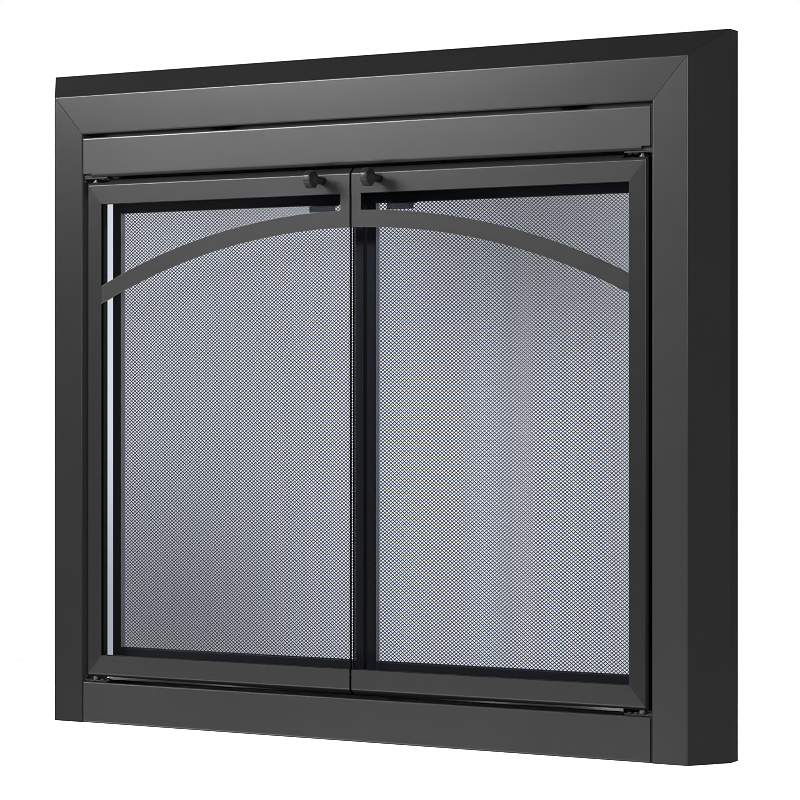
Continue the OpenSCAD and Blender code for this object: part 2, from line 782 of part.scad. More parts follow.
// Plate across a rail at x, from z0 to z1; z_edge is the rail's edge on the glass
module rail_plate(full_path, z_edge, x, z0, z1)
    intersection() {
        draw_out(x, x + sheet_t) polygon(concat(bent(full_path, bend_r), [[d_door_back, z_edge]]));
        block(0, x_door, -over, d_door_back, z0, z1);
    }

module door_top_rail() {
    full_path = top_rail_path(rail_rise);
    z_full = z_door_top + rail_rise;
    color(charcoal)
        difference() {
            union() {
                rail_sheets(full_path, top_rail_path(0));
                rail_plate(full_path, z_open_top, x_mid, z_glass_top + 0.5, z_full);
                rail_plate(full_path, z_open_top, x_step - sheet_t, z_door_top - sheet_t, z_full);
            }
            deepen(-over, d_door_back + over) stile_region();
            rod_z(pin_r + 0.2, x_pin, d_pin, z_door_top - sheet_t - over, z_door_top + over);
            rod_d(knob_screw_r + 0.1, knob_inset, d_face - over, d_face_back + over, z_knob);
        }
}

module door_bottom_rail() {
    full_path = bottom_rail_path(rail_rise);
    z_full = z_door_foot - rail_rise;
    color(charcoal)
        difference() {
            union() {
                rail_sheets(full_path, bottom_rail_path(0));
                rail_plate(full_path, z_open_foot, x_mid, z_full, z_glass_foot - 0.5);
                rail_plate(full_path, z_open_foot, x_step - sheet_t, z_full, z_door_foot + sheet_t);
            }
            deepen(-over, d_door_back + over) stile_region();
            rod_z(pin_r + 0.2, x_pin, d_pin, z_door_foot - over, z_door_foot + sheet_t + over);
        }
}

// Arched bar and the stub that joins it to the top rail
module door_arch()
    color(charcoal)
        deepen(d_face, d_face_back) {
            intersection() {
                translate([0, z_arch_centre])
                    difference() {
                        circle(r = arch_r, $fn = arch_fn);
                        circle(r = arch_r - arch_w, $fn = arch_fn);
                    }
                translate([x_mid, z_open_foot]) square([x_open - x_mid, z_open_top - z_open_foot]);
            }
            translate([x_mid, z_crown - arch_w / 2]) square([stub_w, z_open_top - z_crown + arch_w / 2]);
        }

module glass_pane()
    color(tint)
        block(x_glass_mid, x_glass, d_glass, d_glass_back, z_glass_foot, z_glass_top);

module gasket_tape()
    color(tape_grey)
        deepen(d_face_back, d_glass)
            difference() {
                translate([x_glass_mid, z_glass_foot]) square([x_glass - x_glass_mid, z_glass_top - z_glass_foot]);
                translate([x_glass_mid - over, z_open_foot - 1])
                    square([x_open + 1 - x_glass_mid + over, z_open_top - z_open_foot + 2]);
            }

// Places of the screws that hold the retainers, as [x, z]
function retainer_screw_places() =
    let (x_side = (x_glass + x_door - sheet_t) / 2, third = (z_open_top - z_open_foot) / 3)
    concat(
        [for (k = [0 : 2]) [x_side, z_open_foot + third * (k + 0.5)]],
        [for (share = [0.52, 0.86]) [x_open * share, z_glass_top + 5]],
        [for (share = [0.52, 0.86]) [x_open * share, z_glass_foot - 5]]
    );

// Level part of a retainer along a rail, from x0 to x1: path across it, in [d, z]
module retainer_length(x0, x1, path)
    draw_out(x0, x1) polygon(sheet_outline(path, retainer_t, retainer_t + 0.3));

function top_retainer_path(rise) = [
    [d_glass_back, z_open_top], [d_door_back, z_open_top], [d_door_back, z_door_top + rise - sheet_t]
];

function bottom_retainer_path(rise) = [
    [d_door_back, z_door_foot - rise + sheet_t], [d_door_back, z_open_foot], [d_glass_back, z_open_foot]
];

// Three angle strips behind the glass: outer side, top and bottom
module retainer_set()
    color(dark_steel)
        difference() {
            union() {
                raise(z_open_foot, z_open_top)
                    polygon(sheet_outline([
                        [x_door - sheet_t, d_door_back], [x_open, d_door_back], [x_open, d_glass_back]
                    ], retainer_t, retainer_t + 0.3));
                retainer_length(x_mid + sheet_t, x_step - sheet_t, top_retainer_path(rail_rise));
                retainer_length(x_step - sheet_t, x_door - sheet_t, top_retainer_path(0));
                retainer_length(x_mid + sheet_t, x_step - sheet_t, bottom_retainer_path(rail_rise));
                retainer_length(x_step - sheet_t, x_door - sheet_t, bottom_retainer_path(0));
            }
            for (p = retainer_screw_places())
                rod_d(1.7, p[0], d_door_back - retainer_t - over, d_door_back + over, p[1]);
        }

module retainer_screw_set()
    color(zinc)
        for (p = retainer_screw_places()) {
            rod_d(1.6, p[0], d_face_back, d_door_back, p[1]);
            rod_d(3, p[0], d_door_back, d_door_back + 1.4, p[1]);
        }

// Knob: an eight-sided block whose flats face forwards, up and down
module knob()
    color(charcoal)
        translate([knob_inset - knob_w / 2, (d_knob_front + d_knob_back) / 2 - trim_d, z_knob])
            rotate([0, 90, 0]) rotate([0, 0, 22.5])
                cylinder(h = knob_w, r = knob_size / 2 / cos(22.5), $fn = 8);

module knob_stem()
    color(charcoal)
        difference() {
            rod_d(stem_r, knob_inset, d_knob_back, d_face, z_knob);
            rod_d(knob_screw_r + play, knob_inset, d_face - knob_screw_bite - 0.5, d_face + over, z_knob);
        }

module knob_screw()
    color(zinc) {
        rod_d(knob_screw_r, knob_inset, d_face - knob_screw_bite, d_face_back, z_knob);
        rod_d(knob_screw_head_r, knob_inset, d_face_back, d_face_back + knob_screw_head_t, z_knob);
    }

module strike_plate()
    color(zinc)
        block(catch_inset - catch_w / 2, catch_inset + catch_w / 2, d_door_back, d_door_back + strike_t,
              z_catch - strike_h / 2, z_catch + strike_h / 2);

// Pivot pins with their collars: the lower one carries the door
module door_pin_pair()
    color(zinc) {
        rod_z(pin_r, x_pin, d_pin, z_door_top - sheet_t - bush_h, z_shelf - rest_gap);
        rod_z(collar_r, x_pin, d_pin, z_door_top, z_door_top + upper_collar_t);
        rod_z(pin_r, x_pin, d_pin, sill_h + rest_gap, z_door_foot + sheet_t + bush_h);
        rod_z(collar_r, x_pin, d_pin, sill_h + bracket_t + rest_gap, z_door_foot);
    }

module door_bush_pair()
    color(zinc)
        difference() {
            union() {
                rod_z(bush_r, x_pin, d_pin, z_door_top - sheet_t - bush_h, z_door_top - sheet_t);
                rod_z(bush_r, x_pin, d_pin, z_door_foot + sheet_t, z_door_foot + sheet_t + bush_h);
            }
            rod_z(pin_r + play, x_pin, d_pin, z_door_foot, z_door_top);
        }

// ---------------------------------------------------------------------------------
// Screen doors, drawn as the right-hand one

// Channel bar between x0 and x1, with the deeper wall on the outside of the frame
module screen_stile(x0, x1, outer_first)
    raise(zs_foot, zs_top)
        polygon(sheet_outline([
            [x0, outer_first ? d_wall_back : d_mesh], [x0, screen_d], [x1, screen_d],
            [x1, outer_first ? d_mesh : d_wall_back]
        ], screen_sheet_t, screen_bend_r));

module screen_stile_pair()
    color(dark_steel) {
        screen_stile(xs_mid, xs_mid + screen_bar, true);
        screen_stile(xs_out - screen_bar, xs_out, false);
    }

module screen_rail_pair()
    color(dark_steel)
        draw_out(xs_mid + screen_bar, xs_out - screen_bar) {
            polygon(sheet_outline([
                [d_wall_back, zs_top], [screen_d, zs_top],
                [screen_d, zs_top - screen_bar], [d_mesh, zs_top - screen_bar]
            ], screen_sheet_t, screen_bend_r));
            polygon(sheet_outline([
                [d_mesh, zs_foot + screen_bar], [screen_d, zs_foot + screen_bar],
                [screen_d, zs_foot], [d_wall_back, zs_foot]
            ], screen_sheet_t, screen_bend_r));
        }

// Coarse net of diamonds: one sheet, with staggered rows of openings inside the frame
module mesh_panel()
    color(dark_steel)
        deepen(d_mesh, d_screen_back)
            difference() {
                translate([xs_mid + screen_sheet_t, zs_foot + screen_sheet_t])
                    square([xs_out - xs_mid - 2 * screen_sheet_t, zs_top - zs_foot - 2 * screen_sheet_t]);
                net_openings(xs_mid + screen_bar, xs_out - screen_bar, zs_foot + screen_bar, zs_top - screen_bar);
            }

// Diamonds at the centres and corners of a grid of cells, clipped to the window
module net_openings(x0, x1, z0, z1) {
    columns = floor((x1 - x0) / net_w);
    rows = floor((z1 - z0) / net_h);
    cell_w = (x1 - x0) / columns;
    cell_h = (z1 - z0) / rows;
    slant = norm([cell_w, cell_h]);
    half_w = cell_w / 2 - strand_w * slant / cell_h / 2;
    half_h = cell_h / 2 - strand_w * slant / cell_w / 2;
    intersection() {
        translate([x0, z0]) square([x1 - x0, z1 - z0]);
        for (i = [0 : 2 * columns], j = [0 : 2 * rows])
            if ((i + j) % 2 == 1)
                translate([x0 + i * cell_w / 2, z0 + j * cell_h / 2])
                    polygon([[-half_w, 0], [0, -half_h], [half_w, 0], [0, half_h]]);
    }
}

module pull_tab()
    color(dark_steel)
        draw_out(tab_inset - tab_w / 2, tab_inset + tab_w / 2)
            polygon(sheet_outline([
                [screen_d - screen_sheet_t, z_tab + tab_foot_h], [screen_d - screen_sheet_t, z_tab],
                [screen_d - tab_reach, z_tab], [screen_d - tab_reach, z_tab - tab_h]
            ], screen_sheet_t, screen_bend_r));

// Pins with a plug that fills the end of the stile, and a collar that rests on the bracket
module screen_pin_pair()
    color(zinc) {
        for (z = [zs_foot, zs_top - screen_plug_h])
            block(xs_out - screen_bar + screen_sheet_t + plug_gap, xs_out - screen_sheet_t - plug_gap,
                  screen_d + screen_sheet_t + plug_gap, d_mesh, z, z + screen_plug_h);
        rod_z(screen_pin_r, xs_pin, ds_pin, zs_top, zs_top + screen_bracket_gap + bracket_t + 1.5);
        rod_z(screen_pin_r, xs_pin, ds_pin, zs_foot - screen_bracket_gap - bracket_t - 1.5, zs_foot);
        rod_z(screen_pin_r + 1.4, xs_pin, ds_pin, zs_top, zs_top + screen_collar_t);
        rod_z(screen_pin_r + 1.4, xs_pin, ds_pin, zs_foot - screen_collar_t, zs_foot);
    }

// ---------------------------------------------------------------------------------
// Nodes

on_left() side_trim();  // left_trim
on_right() side_trim();  // right_trim
top_trim();
on_both() corner_bracket();  // corner_brackets
on_both() corner_stud_set();  // corner_studs
header_panel();
lower_panel();
on_both() panel_screw_set();  // panel_screws
upper_guard_strip();
lower_guard_strip();
on_both() door_bracket_pair();  // door_brackets
on_both() bracket_rivet_pair();  // bracket_rivets
on_both() shelf_screw_set();  // shelf_screws
on_both() screen_bracket_pair();  // screen_brackets
on_both() catch_housing();  // catch_housings
on_both() catch_magnet();  // catch_magnets
on_both() screen_magnet();  // screen_magnets
on_both() lintel_bracket();  // lintel_brackets
on_both() lintel_bracket_bolt();  // lintel_bracket_bolts
on_both() clamp_bolt();  // clamp_bolts
on_both() clamp_pad();  // clamp_pads

on_left() door_top_rail();  // left_door_top_rail
on_left() door_stile();  // left_door_stile
on_left() door_bottom_rail();  // left_door_bottom_rail
on_left() door_arch();  // left_door_arch
on_left() glass_pane();  // left_glass
on_left() gasket_tape();  // left_gasket
on_left() retainer_set();  // left_retainers
on_left() retainer_screw_set();  // left_retainer_screws
on_left() knob();  // left_knob
on_left() knob_stem();  // left_knob_stem
on_left() knob_screw();  // left_knob_screw
on_left() strike_plate();  // left_strike_plate
on_left() door_pin_pair();  // left_door_pins
on_left() door_bush_pair();  // left_door_bushes

on_right() door_top_rail();  // right_door_top_rail
on_right() door_stile();  // right_door_stile
on_right() door_bottom_rail();  // right_door_bottom_rail
on_right() door_arch();  // right_door_arch
on_right() glass_pane();  // right_glass
on_right() gasket_tape();  // right_gasket
on_right() retainer_set();  // right_retainers
on_right() retainer_screw_set();  // right_retainer_screws
on_right() knob();  // right_knob
on_right() knob_stem();  // right_knob_stem
on_right() knob_screw();  // right_knob_screw
on_right() strike_plate();  // right_strike_plate
on_right() door_pin_pair();  // right_door_pins
on_right() door_bush_pair();  // right_door_bushes

on_left() screen_stile_pair();  // left_screen_stiles
on_left() screen_rail_pair();  // left_screen_rails
on_left() mesh_panel();  // left_mesh
on_left() pull_tab();  // left_pull_tab
on_left() screen_pin_pair();  // left_screen_pins

on_right() screen_stile_pair();  // right_screen_stiles
on_right() screen_rail_pair();  // right_screen_rails
on_right() mesh_panel();  // right_mesh
on_right() pull_tab();  // right_pull_tab
on_right() screen_pin_pair();  // right_screen_pins
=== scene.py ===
"""Looks of the fireplace glass door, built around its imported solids.

Sizes in the classes are millimetres, and every mesh is built in metres in the solids' own frame: +X to the
right, +Y into the wall, +Z up, with the origin on the hearth in the wall's plane.
"""

import logging
import math
from collections.abc import Callable, Iterable
from dataclasses import dataclass, replace
from enum import Enum

import bmesh
import bpy
from mathutils import Matrix, Vector


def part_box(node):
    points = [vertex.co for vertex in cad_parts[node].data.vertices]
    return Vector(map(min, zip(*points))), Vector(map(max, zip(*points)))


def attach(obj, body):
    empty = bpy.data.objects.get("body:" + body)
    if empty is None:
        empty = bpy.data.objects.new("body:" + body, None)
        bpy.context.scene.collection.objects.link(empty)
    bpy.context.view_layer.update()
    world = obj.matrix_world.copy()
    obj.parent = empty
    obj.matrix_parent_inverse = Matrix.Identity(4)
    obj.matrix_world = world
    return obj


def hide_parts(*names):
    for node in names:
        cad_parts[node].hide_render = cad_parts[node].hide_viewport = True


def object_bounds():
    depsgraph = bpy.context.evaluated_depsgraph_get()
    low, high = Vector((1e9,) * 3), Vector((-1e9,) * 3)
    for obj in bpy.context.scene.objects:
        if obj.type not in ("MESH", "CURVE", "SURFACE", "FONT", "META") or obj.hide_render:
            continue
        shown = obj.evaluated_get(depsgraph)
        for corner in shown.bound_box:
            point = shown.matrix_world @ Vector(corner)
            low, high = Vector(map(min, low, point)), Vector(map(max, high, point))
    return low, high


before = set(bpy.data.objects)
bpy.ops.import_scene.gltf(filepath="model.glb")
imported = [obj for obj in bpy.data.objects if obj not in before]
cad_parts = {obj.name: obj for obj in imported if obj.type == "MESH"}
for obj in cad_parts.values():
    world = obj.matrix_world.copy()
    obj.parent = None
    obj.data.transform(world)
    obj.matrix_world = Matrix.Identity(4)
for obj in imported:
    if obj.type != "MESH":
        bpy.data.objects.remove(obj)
cad_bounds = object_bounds()

LOG = logging.getLogger("fireplace_door")
MM = 0.001
# Vertices closer than this are one.
WELD = MM / 1000
# A face looks along an axis when more than this of its direction lies along it.
FACING = 0.9
# A wave texture whose scale is 1 runs through this many radians in a metre.
WAVE_RATE = 20.0
# Edges sharper than this many degrees are rounded on solids, and stay sharp on most new pieces.
SHARP_DEG = 30.0
BACK, UP = Vector((0, 1, 0)), Vector((0, 0, 1))
WHITE = (1.0, 1.0, 1.0, 1.0)

Box = tuple[Vector, Vector]
Mesh = bmesh.types.BMesh
Vert = bmesh.types.BMVert
Tree = bpy.types.NodeTree
Socket = bpy.types.NodeSocket


# ------------------------------------------------------------
# Small helpers


def linear(colour: str) -> tuple[float, float, float, float]:
    """Returns the linear values and alpha that shaders take for an sRGB hex colour."""
    parts = [int(colour[i : i + 2], 16) / 255 for i in (1, 3, 5)]
    return (*[p / 12.92 if p <= 0.04045 else ((p + 0.055) / 1.055) ** 2.4 for p in parts], 1.0)


def toward(azimuth: float, elevation: float) -> Vector:
    """Returns the direction at a compass bearing from +Y and a height above the horizon, in degrees."""
    around, up = math.radians(azimuth), math.radians(elevation)
    return Vector((math.sin(around) * math.cos(up), math.cos(around) * math.cos(up), math.sin(up)))


def add_node(tree: Tree, kind: str, inputs: dict | None = None, **settings: object) -> bpy.types.Node:
    """Adds a shader node with its settings, values and links.

    Args:
        tree: The node tree that takes it.
        kind: The node's type, such as ShaderNodeBump.
        inputs: Input name or number to a value, or to the output socket that feeds it.
        **settings: Attributes of the node.

    Returns:
        The new node.
    """
    made = tree.nodes.new(kind)
    for name, value in settings.items():
        setattr(made, name, value)
    for name, value in (inputs or {}).items():
        if isinstance(value, Socket):
            tree.links.new(value, made.inputs[name])
        else:
            made.inputs[name].default_value = value
    return made


def islands(node: str) -> list[Box]:
    """Finds the separate solids in a node.

    Args:
        node: The node's name.

    Returns:
        The low and high corner of each solid, in metres.
    """
    mesh = bmesh.new()
    mesh.from_mesh(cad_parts[node].data)
    bmesh.ops.remove_doubles(mesh, verts=mesh.verts[:], dist=WELD)
    boxes: list[Box] = []
    left = set(mesh.verts)
    while left:
        group, front = set(), [left.pop()]
        while front:
            vert = front.pop()
            group.add(vert)
            for edge in vert.link_edges:
                other = edge.other_vert(vert)
                if other in left:
                    left.remove(other)
                    front.append(other)
        spans = [[v.co[i] for v in group] for i in range(3)]
        boxes.append((Vector([min(span) for span in spans]), Vector([max(span) for span in spans])))
    mesh.free()
    return boxes


def lathe(mesh: Mesh, profile: list[tuple[float, float]], steps: int = 24) -> list[Vert]:
    """Turns a profile about the Z axis.

    Args:
        mesh: The mesh that takes it.
        profile: Pairs of radius and height in millimetres, from one end to the other.
        steps: Faces round the axis.

    Returns:
        The vertices of the turned shape.
    """
    before = set(mesh.verts)
    verts = [mesh.verts.new((radius * MM, 0.0, height * MM)) for radius, height in profile]
    edges = [mesh.edges.new(pair) for pair in zip(verts, verts[1:])]
    outline = verts + edges
    bmesh.ops.spin(mesh, geom=outline, cent=(0, 0, 0), axis=UP, angle=math.tau, steps=steps, use_merge=True)
    bmesh.ops.remove_doubles(mesh, verts=[v for v in mesh.verts if v not in before], dist=WELD)
    fresh = [v for v in mesh.verts if v not in before]
    bmesh.ops.recalc_face_normals(mesh, faces=list({face for vert in fresh for face in vert.link_faces}))
    return fresh


def cut_away(mesh: Mesh, verts: Iterable[Vert], place: Vector, way: Vector) -> None:
    """Cuts away what lies beyond a plane, and closes the cut.

    Args:
        mesh: The mesh that holds the shape.
        verts: The shape's vertices.
        place: A point on the plane.
        way: The direction that is cut away.
    """
    edges = {edge for vert in verts for edge in vert.link_edges}
    faces = {face for vert in verts for face in vert.link_faces}
    cut = bmesh.ops.bisect_plane(
        mesh, geom=[*verts, *edges, *faces], plane_co=place, plane_no=way, clear_outer=True
    )["geom_cut"]
    bmesh.ops.holes_fill(mesh, edges=[e for e in cut if isinstance(e, bmesh.types.BMEdge)], sides=0)


def round_edges(mesh: Mesh, edges: list[bmesh.types.BMEdge], width: float, segments: int) -> None:
    """Bevels edges, each as far as width in millimetres, with that many faces across."""
    bmesh.ops.bevel(
        mesh, geom=edges, offset=width * MM, affect="EDGES", segments=segments, profile=0.5, material=-1
    )


def add_block(mesh: Mesh, middle: Vector, size: Vector, edge: float, segments: int) -> None:
    """Adds a block with bevelled edges.

    Args:
        mesh: The mesh that takes it.
        middle: The block's middle, in metres.
        size: Its width, depth and height, in metres.
        edge: How far the bevel reaches from each edge, in millimetres.
        segments: Faces across the bevel.
    """
    before = set(mesh.edges)
    bmesh.ops.create_cube(mesh, size=1.0, matrix=Matrix.LocRotScale(middle, None, size))
    round_edges(mesh, [e for e in mesh.edges if e not in before], edge, segments)


# ------------------------------------------------------------
# Finishes


@dataclass(frozen=True)
class Finish:
    """What a surface is made of.

    Attributes:
        name: The material's name.
        colour: Its sRGB colour.
        dark: The pattern's value where the colour is darkest, and the share of its brightness there.
        light: The same where the colour is lightest.
        bump: The strength of its relief.
        bump_mm: The height of its relief.
        slot: The record's material slot. It is not used in this script.
    """

    name: str
    colour: str
    dark: tuple[float, float] = (0.0, 1.0)
    light: tuple[float, float] = (1.0, 1.0)
    bump: float = 0.3
    bump_mm: float = 0.1
    slot: str = ""

    def build(self) -> bpy.types.Material:
        """Builds the material and returns it."""
        made = bpy.data.materials.new(self.name)
        made.use_nodes = True
        made.node_tree.nodes.clear()
        add_node(made.node_tree, "ShaderNodeOutputMaterial", {"Surface": self.surface(made.node_tree)})
        return made

    def surface(self, tree: Tree) -> Socket:
        """Adds the finish's own nodes, and returns the shader's output."""
        raise NotImplementedError

    def mottle(self, tree: Tree, pattern: Socket) -> Socket:
        """Varies the finish's colour with a pattern.

        Args:
            tree: The material's node tree.
            pattern: The pattern's value.

        Returns:
            The varied colour.
        """
        base = Vector(linear(self.colour)[:3])
        tones = add_node(tree, "ShaderNodeValToRGB", {"Fac": pattern})
        for element, (value, share) in zip(tones.color_ramp.elements, (self.dark, self.light)):
            element.position = value
            element.color = (*(base * share), 1.0)
        return tones.outputs["Color"]

    def coat(self, tree: Tree, relief: Socket, inputs: dict) -> Socket:
        """Adds the shader of a solid finish, with its relief.

        Args:
            tree: The material's node tree.
            relief: The height of the relief, from 0 to 1.
            inputs: The shader's other inputs.

        Returns:
            The shader's output.
        """
        bump = {"Height": relief, "Strength": self.bump, "Distance": self.bump_mm * MM}
        normal = add_node(tree, "ShaderNodeBump", bump).outputs[0]
        return add_node(tree, "ShaderNodeBsdfPrincipled", {**inputs, "Normal": normal}).outputs[0]


@dataclass(frozen=True)
class StovePaint(Finish):
    """High-temperature paint baked on sheet steel: satin, with a fine grain and a faint orange peel.

    The grain of such paint is about 0.3 mm, too fine to show here, so it is drawn at 2 mm. Painted shade
    darkens the paint and its reflection deep in narrow grooves and on faces that look down, where shade
    falls.

    Attributes:
        roughness: The paint's roughness.
        roughness_swing: How far the orange peel takes the roughness up and down.
        gloss: The strength of the paint's reflection, 0.5 for a full one.
        grain_mm: The size of the grain, as peel_mm is of the orange peel and cloud_mm of faint clouds.
        peel_share: The orange peel's share of the relief. The grain has the rest.
        groove_mm: How far the painted groove shade looks for a facing wall.
        groove_open: How open a groove is where its painted shade is darkest, and where there is none.
        groove_shade: How much of the colour is left deep in a groove.
        ledge_rise: The direction along Z of a face whose painted shade is darkest, and of one that has none.
        under_shade: How much of the colour is left on a face that looks down.
        flange_light_colour: The colour of painted light and reflection on flanges that look along X, or
            empty for the paint's own.
        flange_at: How far from the middle of the pair such flanges lie, in millimetres.
    """

    dark: tuple[float, float] = (0.25, 0.94)
    light: tuple[float, float] = (0.75, 1.07)
    bump: float = 0.15
    slot: str = "charcoal_paint"
    roughness: float = 0.29
    roughness_swing: float = 0.02
    gloss: float = 0.5
    grain_mm: float = 2.0
    peel_mm: float = 12.0
    peel_share: float = 0.35
    cloud_mm: float = 140.0
    groove_mm: float = 20.0
    groove_open: tuple[float, float] = (0.35, 0.95)
    groove_shade: float = 0.1
    ledge_rise: tuple[float, float] = (-0.95, -0.3)
    under_shade: float = 0.35
    flange_light_colour: str = ""
    flange_at: tuple[float, ...] = ()

    def surface(self, tree: Tree) -> Socket:
        """Adds the paint's nodes.

        Args:
            tree: The material's node tree.

        Returns:
            The shader's output.
        """
        coords = add_node(tree, "ShaderNodeTexCoord").outputs
        place = coords["Object"]
        grain, peel, cloud = [
            add_node(
                tree, "ShaderNodeTexNoise", {"Vector": place, "Scale": 1 / (size * MM), "Detail": detail}
            ).outputs["Fac"]
            for size, detail in ((self.grain_mm, 0.0), (self.peel_mm, 0.0), (self.cloud_mm, 4.0))
        ]
        colour = self.mottle(tree, cloud)
        facing = add_node(tree, "ShaderNodeSeparateXYZ", {"Vector": coords["Normal"]}).outputs
        # Painted light: flanges that look along X get a lighter colour.
        if self.flange_light_colour:
            colour = self.paint_flange_light(tree, place, facing["X"], colour)
        # Painted shade: grooves and faces that look down get a darker colour and a weaker reflection.
        shade = self.paint_groove_shade(tree, facing["Z"])
        paint = add_node(tree, "ShaderNodeVectorMath", {0: colour, "Scale": shade}, operation="SCALE")
        gloss = add_node(tree, "ShaderNodeMath", {0: shade, 1: self.gloss}, operation="MULTIPLY")
        low, high = self.roughness - self.roughness_swing, self.roughness + self.roughness_swing
        shine = add_node(tree, "ShaderNodeMapRange", {"Value": peel, "To Min": low, "To Max": high})
        height = add_node(
            tree, "ShaderNodeMix", {"Factor": self.peel_share, 2: grain, 3: peel}, data_type="FLOAT"
        ).outputs[0]
        inputs = {"Base Color": paint, "Roughness": shine, "Specular IOR Level": gloss}
        return self.coat(tree, height, {name: node.outputs[0] for name, node in inputs.items()})

    def paint_groove_shade(self, tree: Tree, rise: Socket) -> Socket:
        """Paints shade deep in grooves and on faces that look down, on the colour and on the reflection.

        Args:
            tree: The material's node tree.
            rise: The part of the face's direction along Z.

        Returns:
            The share of the paint's brightness that is left.
        """
        reach = self.groove_mm * MM
        open_air = add_node(tree, "ShaderNodeAmbientOcclusion", {"Distance": reach}, samples=8).outputs["AO"]
        left = 1.0
        for value, (shadiest, unshaded), shade in (
            (open_air, self.groove_open, self.groove_shade),
            (rise, self.ledge_rise, self.under_shade),
        ):
            inputs = {"Value": value, "From Min": shadiest, "From Max": unshaded, "To Min": shade}
            here = add_node(tree, "ShaderNodeMapRange", inputs).outputs[0]
            left = add_node(tree, "ShaderNodeMath", {0: left, 1: here}, operation="MULTIPLY").outputs[0]
        return left

    def paint_flange_light(self, tree: Tree, place: Socket, across: Socket, colour: Socket) -> Socket:
        """Paints light on the flanges: mixes a lighter colour into the paint's where they catch light and
        reflection.

        Args:
            tree: The material's node tree.
            place: The place on the object.
            across: The part of the face's direction along X.
            colour: The paint's colour.

        Returns:
            The mixed colour.
        """
        x = add_node(tree, "ShaderNodeSeparateXYZ", {"Vector": place}).outputs["X"]
        aside, turned = [
            add_node(tree, "ShaderNodeMath", {0: value}, operation="ABSOLUTE").outputs[0]
            for value in (x, across)
        ]
        sideways = add_node(tree, "ShaderNodeMath", {0: turned, 1: FACING}, operation="GREATER_THAN")
        near = 0.0
        for plane in self.flange_at:
            inputs = {0: aside, 1: plane * MM, 2: MM}
            here = add_node(tree, "ShaderNodeMath", inputs, operation="COMPARE").outputs[0]
            near = add_node(tree, "ShaderNodeMath", {0: near, 1: here}, operation="MAXIMUM").outputs[0]
        both = add_node(tree, "ShaderNodeMath", {0: sideways.outputs[0], 1: near}, operation="MULTIPLY")
        inputs = {0: both.outputs[0], 6: colour, 7: linear(self.flange_light_colour)}
        return add_node(tree, "ShaderNodeMix", inputs, data_type="RGBA").outputs[2]


@dataclass(frozen=True)
class ZincPlate(Finish):
    """Bright zinc plate on pressed and turned steel: clear metal with faint rolling marks and dull patches.

    The marks run along Z, and mark_run is their width as a share of their length.
    """

    colour: str = "#6f7276"
    dark: tuple[float, float] = (0.3, 0.78)
    light: tuple[float, float] = (0.7, 1.05)
    bump: float = 0.15
    bump_mm: float = 0.05
    slot: str = "zinc_steel"
    smoothest: float = 0.42
    roughest: float = 0.62
    patch_mm: float = 7.0
    mark_mm: float = 2 / 3
    mark_run: float = 0.06

    def surface(self, tree: Tree) -> Socket:
        """Adds the zinc's nodes.

        Args:
            tree: The material's node tree.

        Returns:
            The shader's output.
        """
        place = add_node(tree, "ShaderNodeTexCoord").outputs["Object"]
        rolled = add_node(tree, "ShaderNodeMapping", {"Vector": place, "Scale": (1.0, 1.0, self.mark_run)})
        patch, marks = [
            add_node(
                tree, "ShaderNodeTexNoise", {"Vector": where, "Scale": 1 / (size * MM), "Detail": detail}
            ).outputs["Fac"]
            for where, size, detail in ((place, self.patch_mm, 5.0), (rolled.outputs[0], self.mark_mm, 2.0))
        ]
        inputs = {"Value": patch, "To Min": self.smoothest, "To Max": self.roughest}
        shine = add_node(tree, "ShaderNodeMapRange", inputs).outputs[0]
        return self.coat(
            tree, marks, {"Base Color": self.mottle(tree, patch), "Metallic": 1.0, "Roughness": shine}
        )


@dataclass(frozen=True)
class ClearGlass(Finish):
    """Tempered sheet glass, faintly grey: what is behind it shows through."""

    colour: str = "#e9ecf2"
    slot: str = "tinted_glass"
    roughness: float = 0.02
    refraction: float = 1.5

    def surface(self, tree: Tree) -> Socket:
        """Adds the glass's nodes. It mirrors only where light enters it, as it doesn't bend the light.

        Args:
            tree: The material's node tree.

        Returns:
            The shader's output.
        """
        through = add_node(tree, "ShaderNodeBsdfTransparent", {"Color": linear(self.colour)})
        mirror = add_node(tree, "ShaderNodeBsdfGlossy", {"Color": WHITE, "Roughness": self.roughness})
        slant = add_node(tree, "ShaderNodeFresnel", {"IOR": self.refraction}).outputs[0]
        leaving = add_node(tree, "ShaderNodeNewGeometry").outputs["Backfacing"]
        entering = add_node(tree, "ShaderNodeMath", {0: 1.0, 1: leaving}, operation="SUBTRACT").outputs[0]
        share = add_node(tree, "ShaderNodeMath", {0: slant, 1: entering}, operation="MULTIPLY").outputs[0]
        inputs = {0: share, 1: through.outputs[0], 2: mirror.outputs[0]}
        return add_node(tree, "ShaderNodeMixShader", inputs).outputs[0]


@dataclass(frozen=True)
class GroundEdge(Finish):
    """The ground edge of a pane: dull and dark, with a fine grit."""

    colour: str = "#0d100f"
    slot: str = "tinted_glass"
    roughness: float = 0.45
    grit_mm: float = 0.8

    def surface(self, tree: Tree) -> Socket:
        """Adds the edge's nodes, and returns the shader's output."""
        place = add_node(tree, "ShaderNodeTexCoord").outputs["Object"]
        grit = add_node(tree, "ShaderNodeTexNoise", {"Vector": place, "Scale": 1 / (self.grit_mm * MM)})
        inputs = {"Base Color": linear(self.colour), "Roughness": self.roughness}
        return self.coat(tree, grit.outputs["Fac"], inputs)


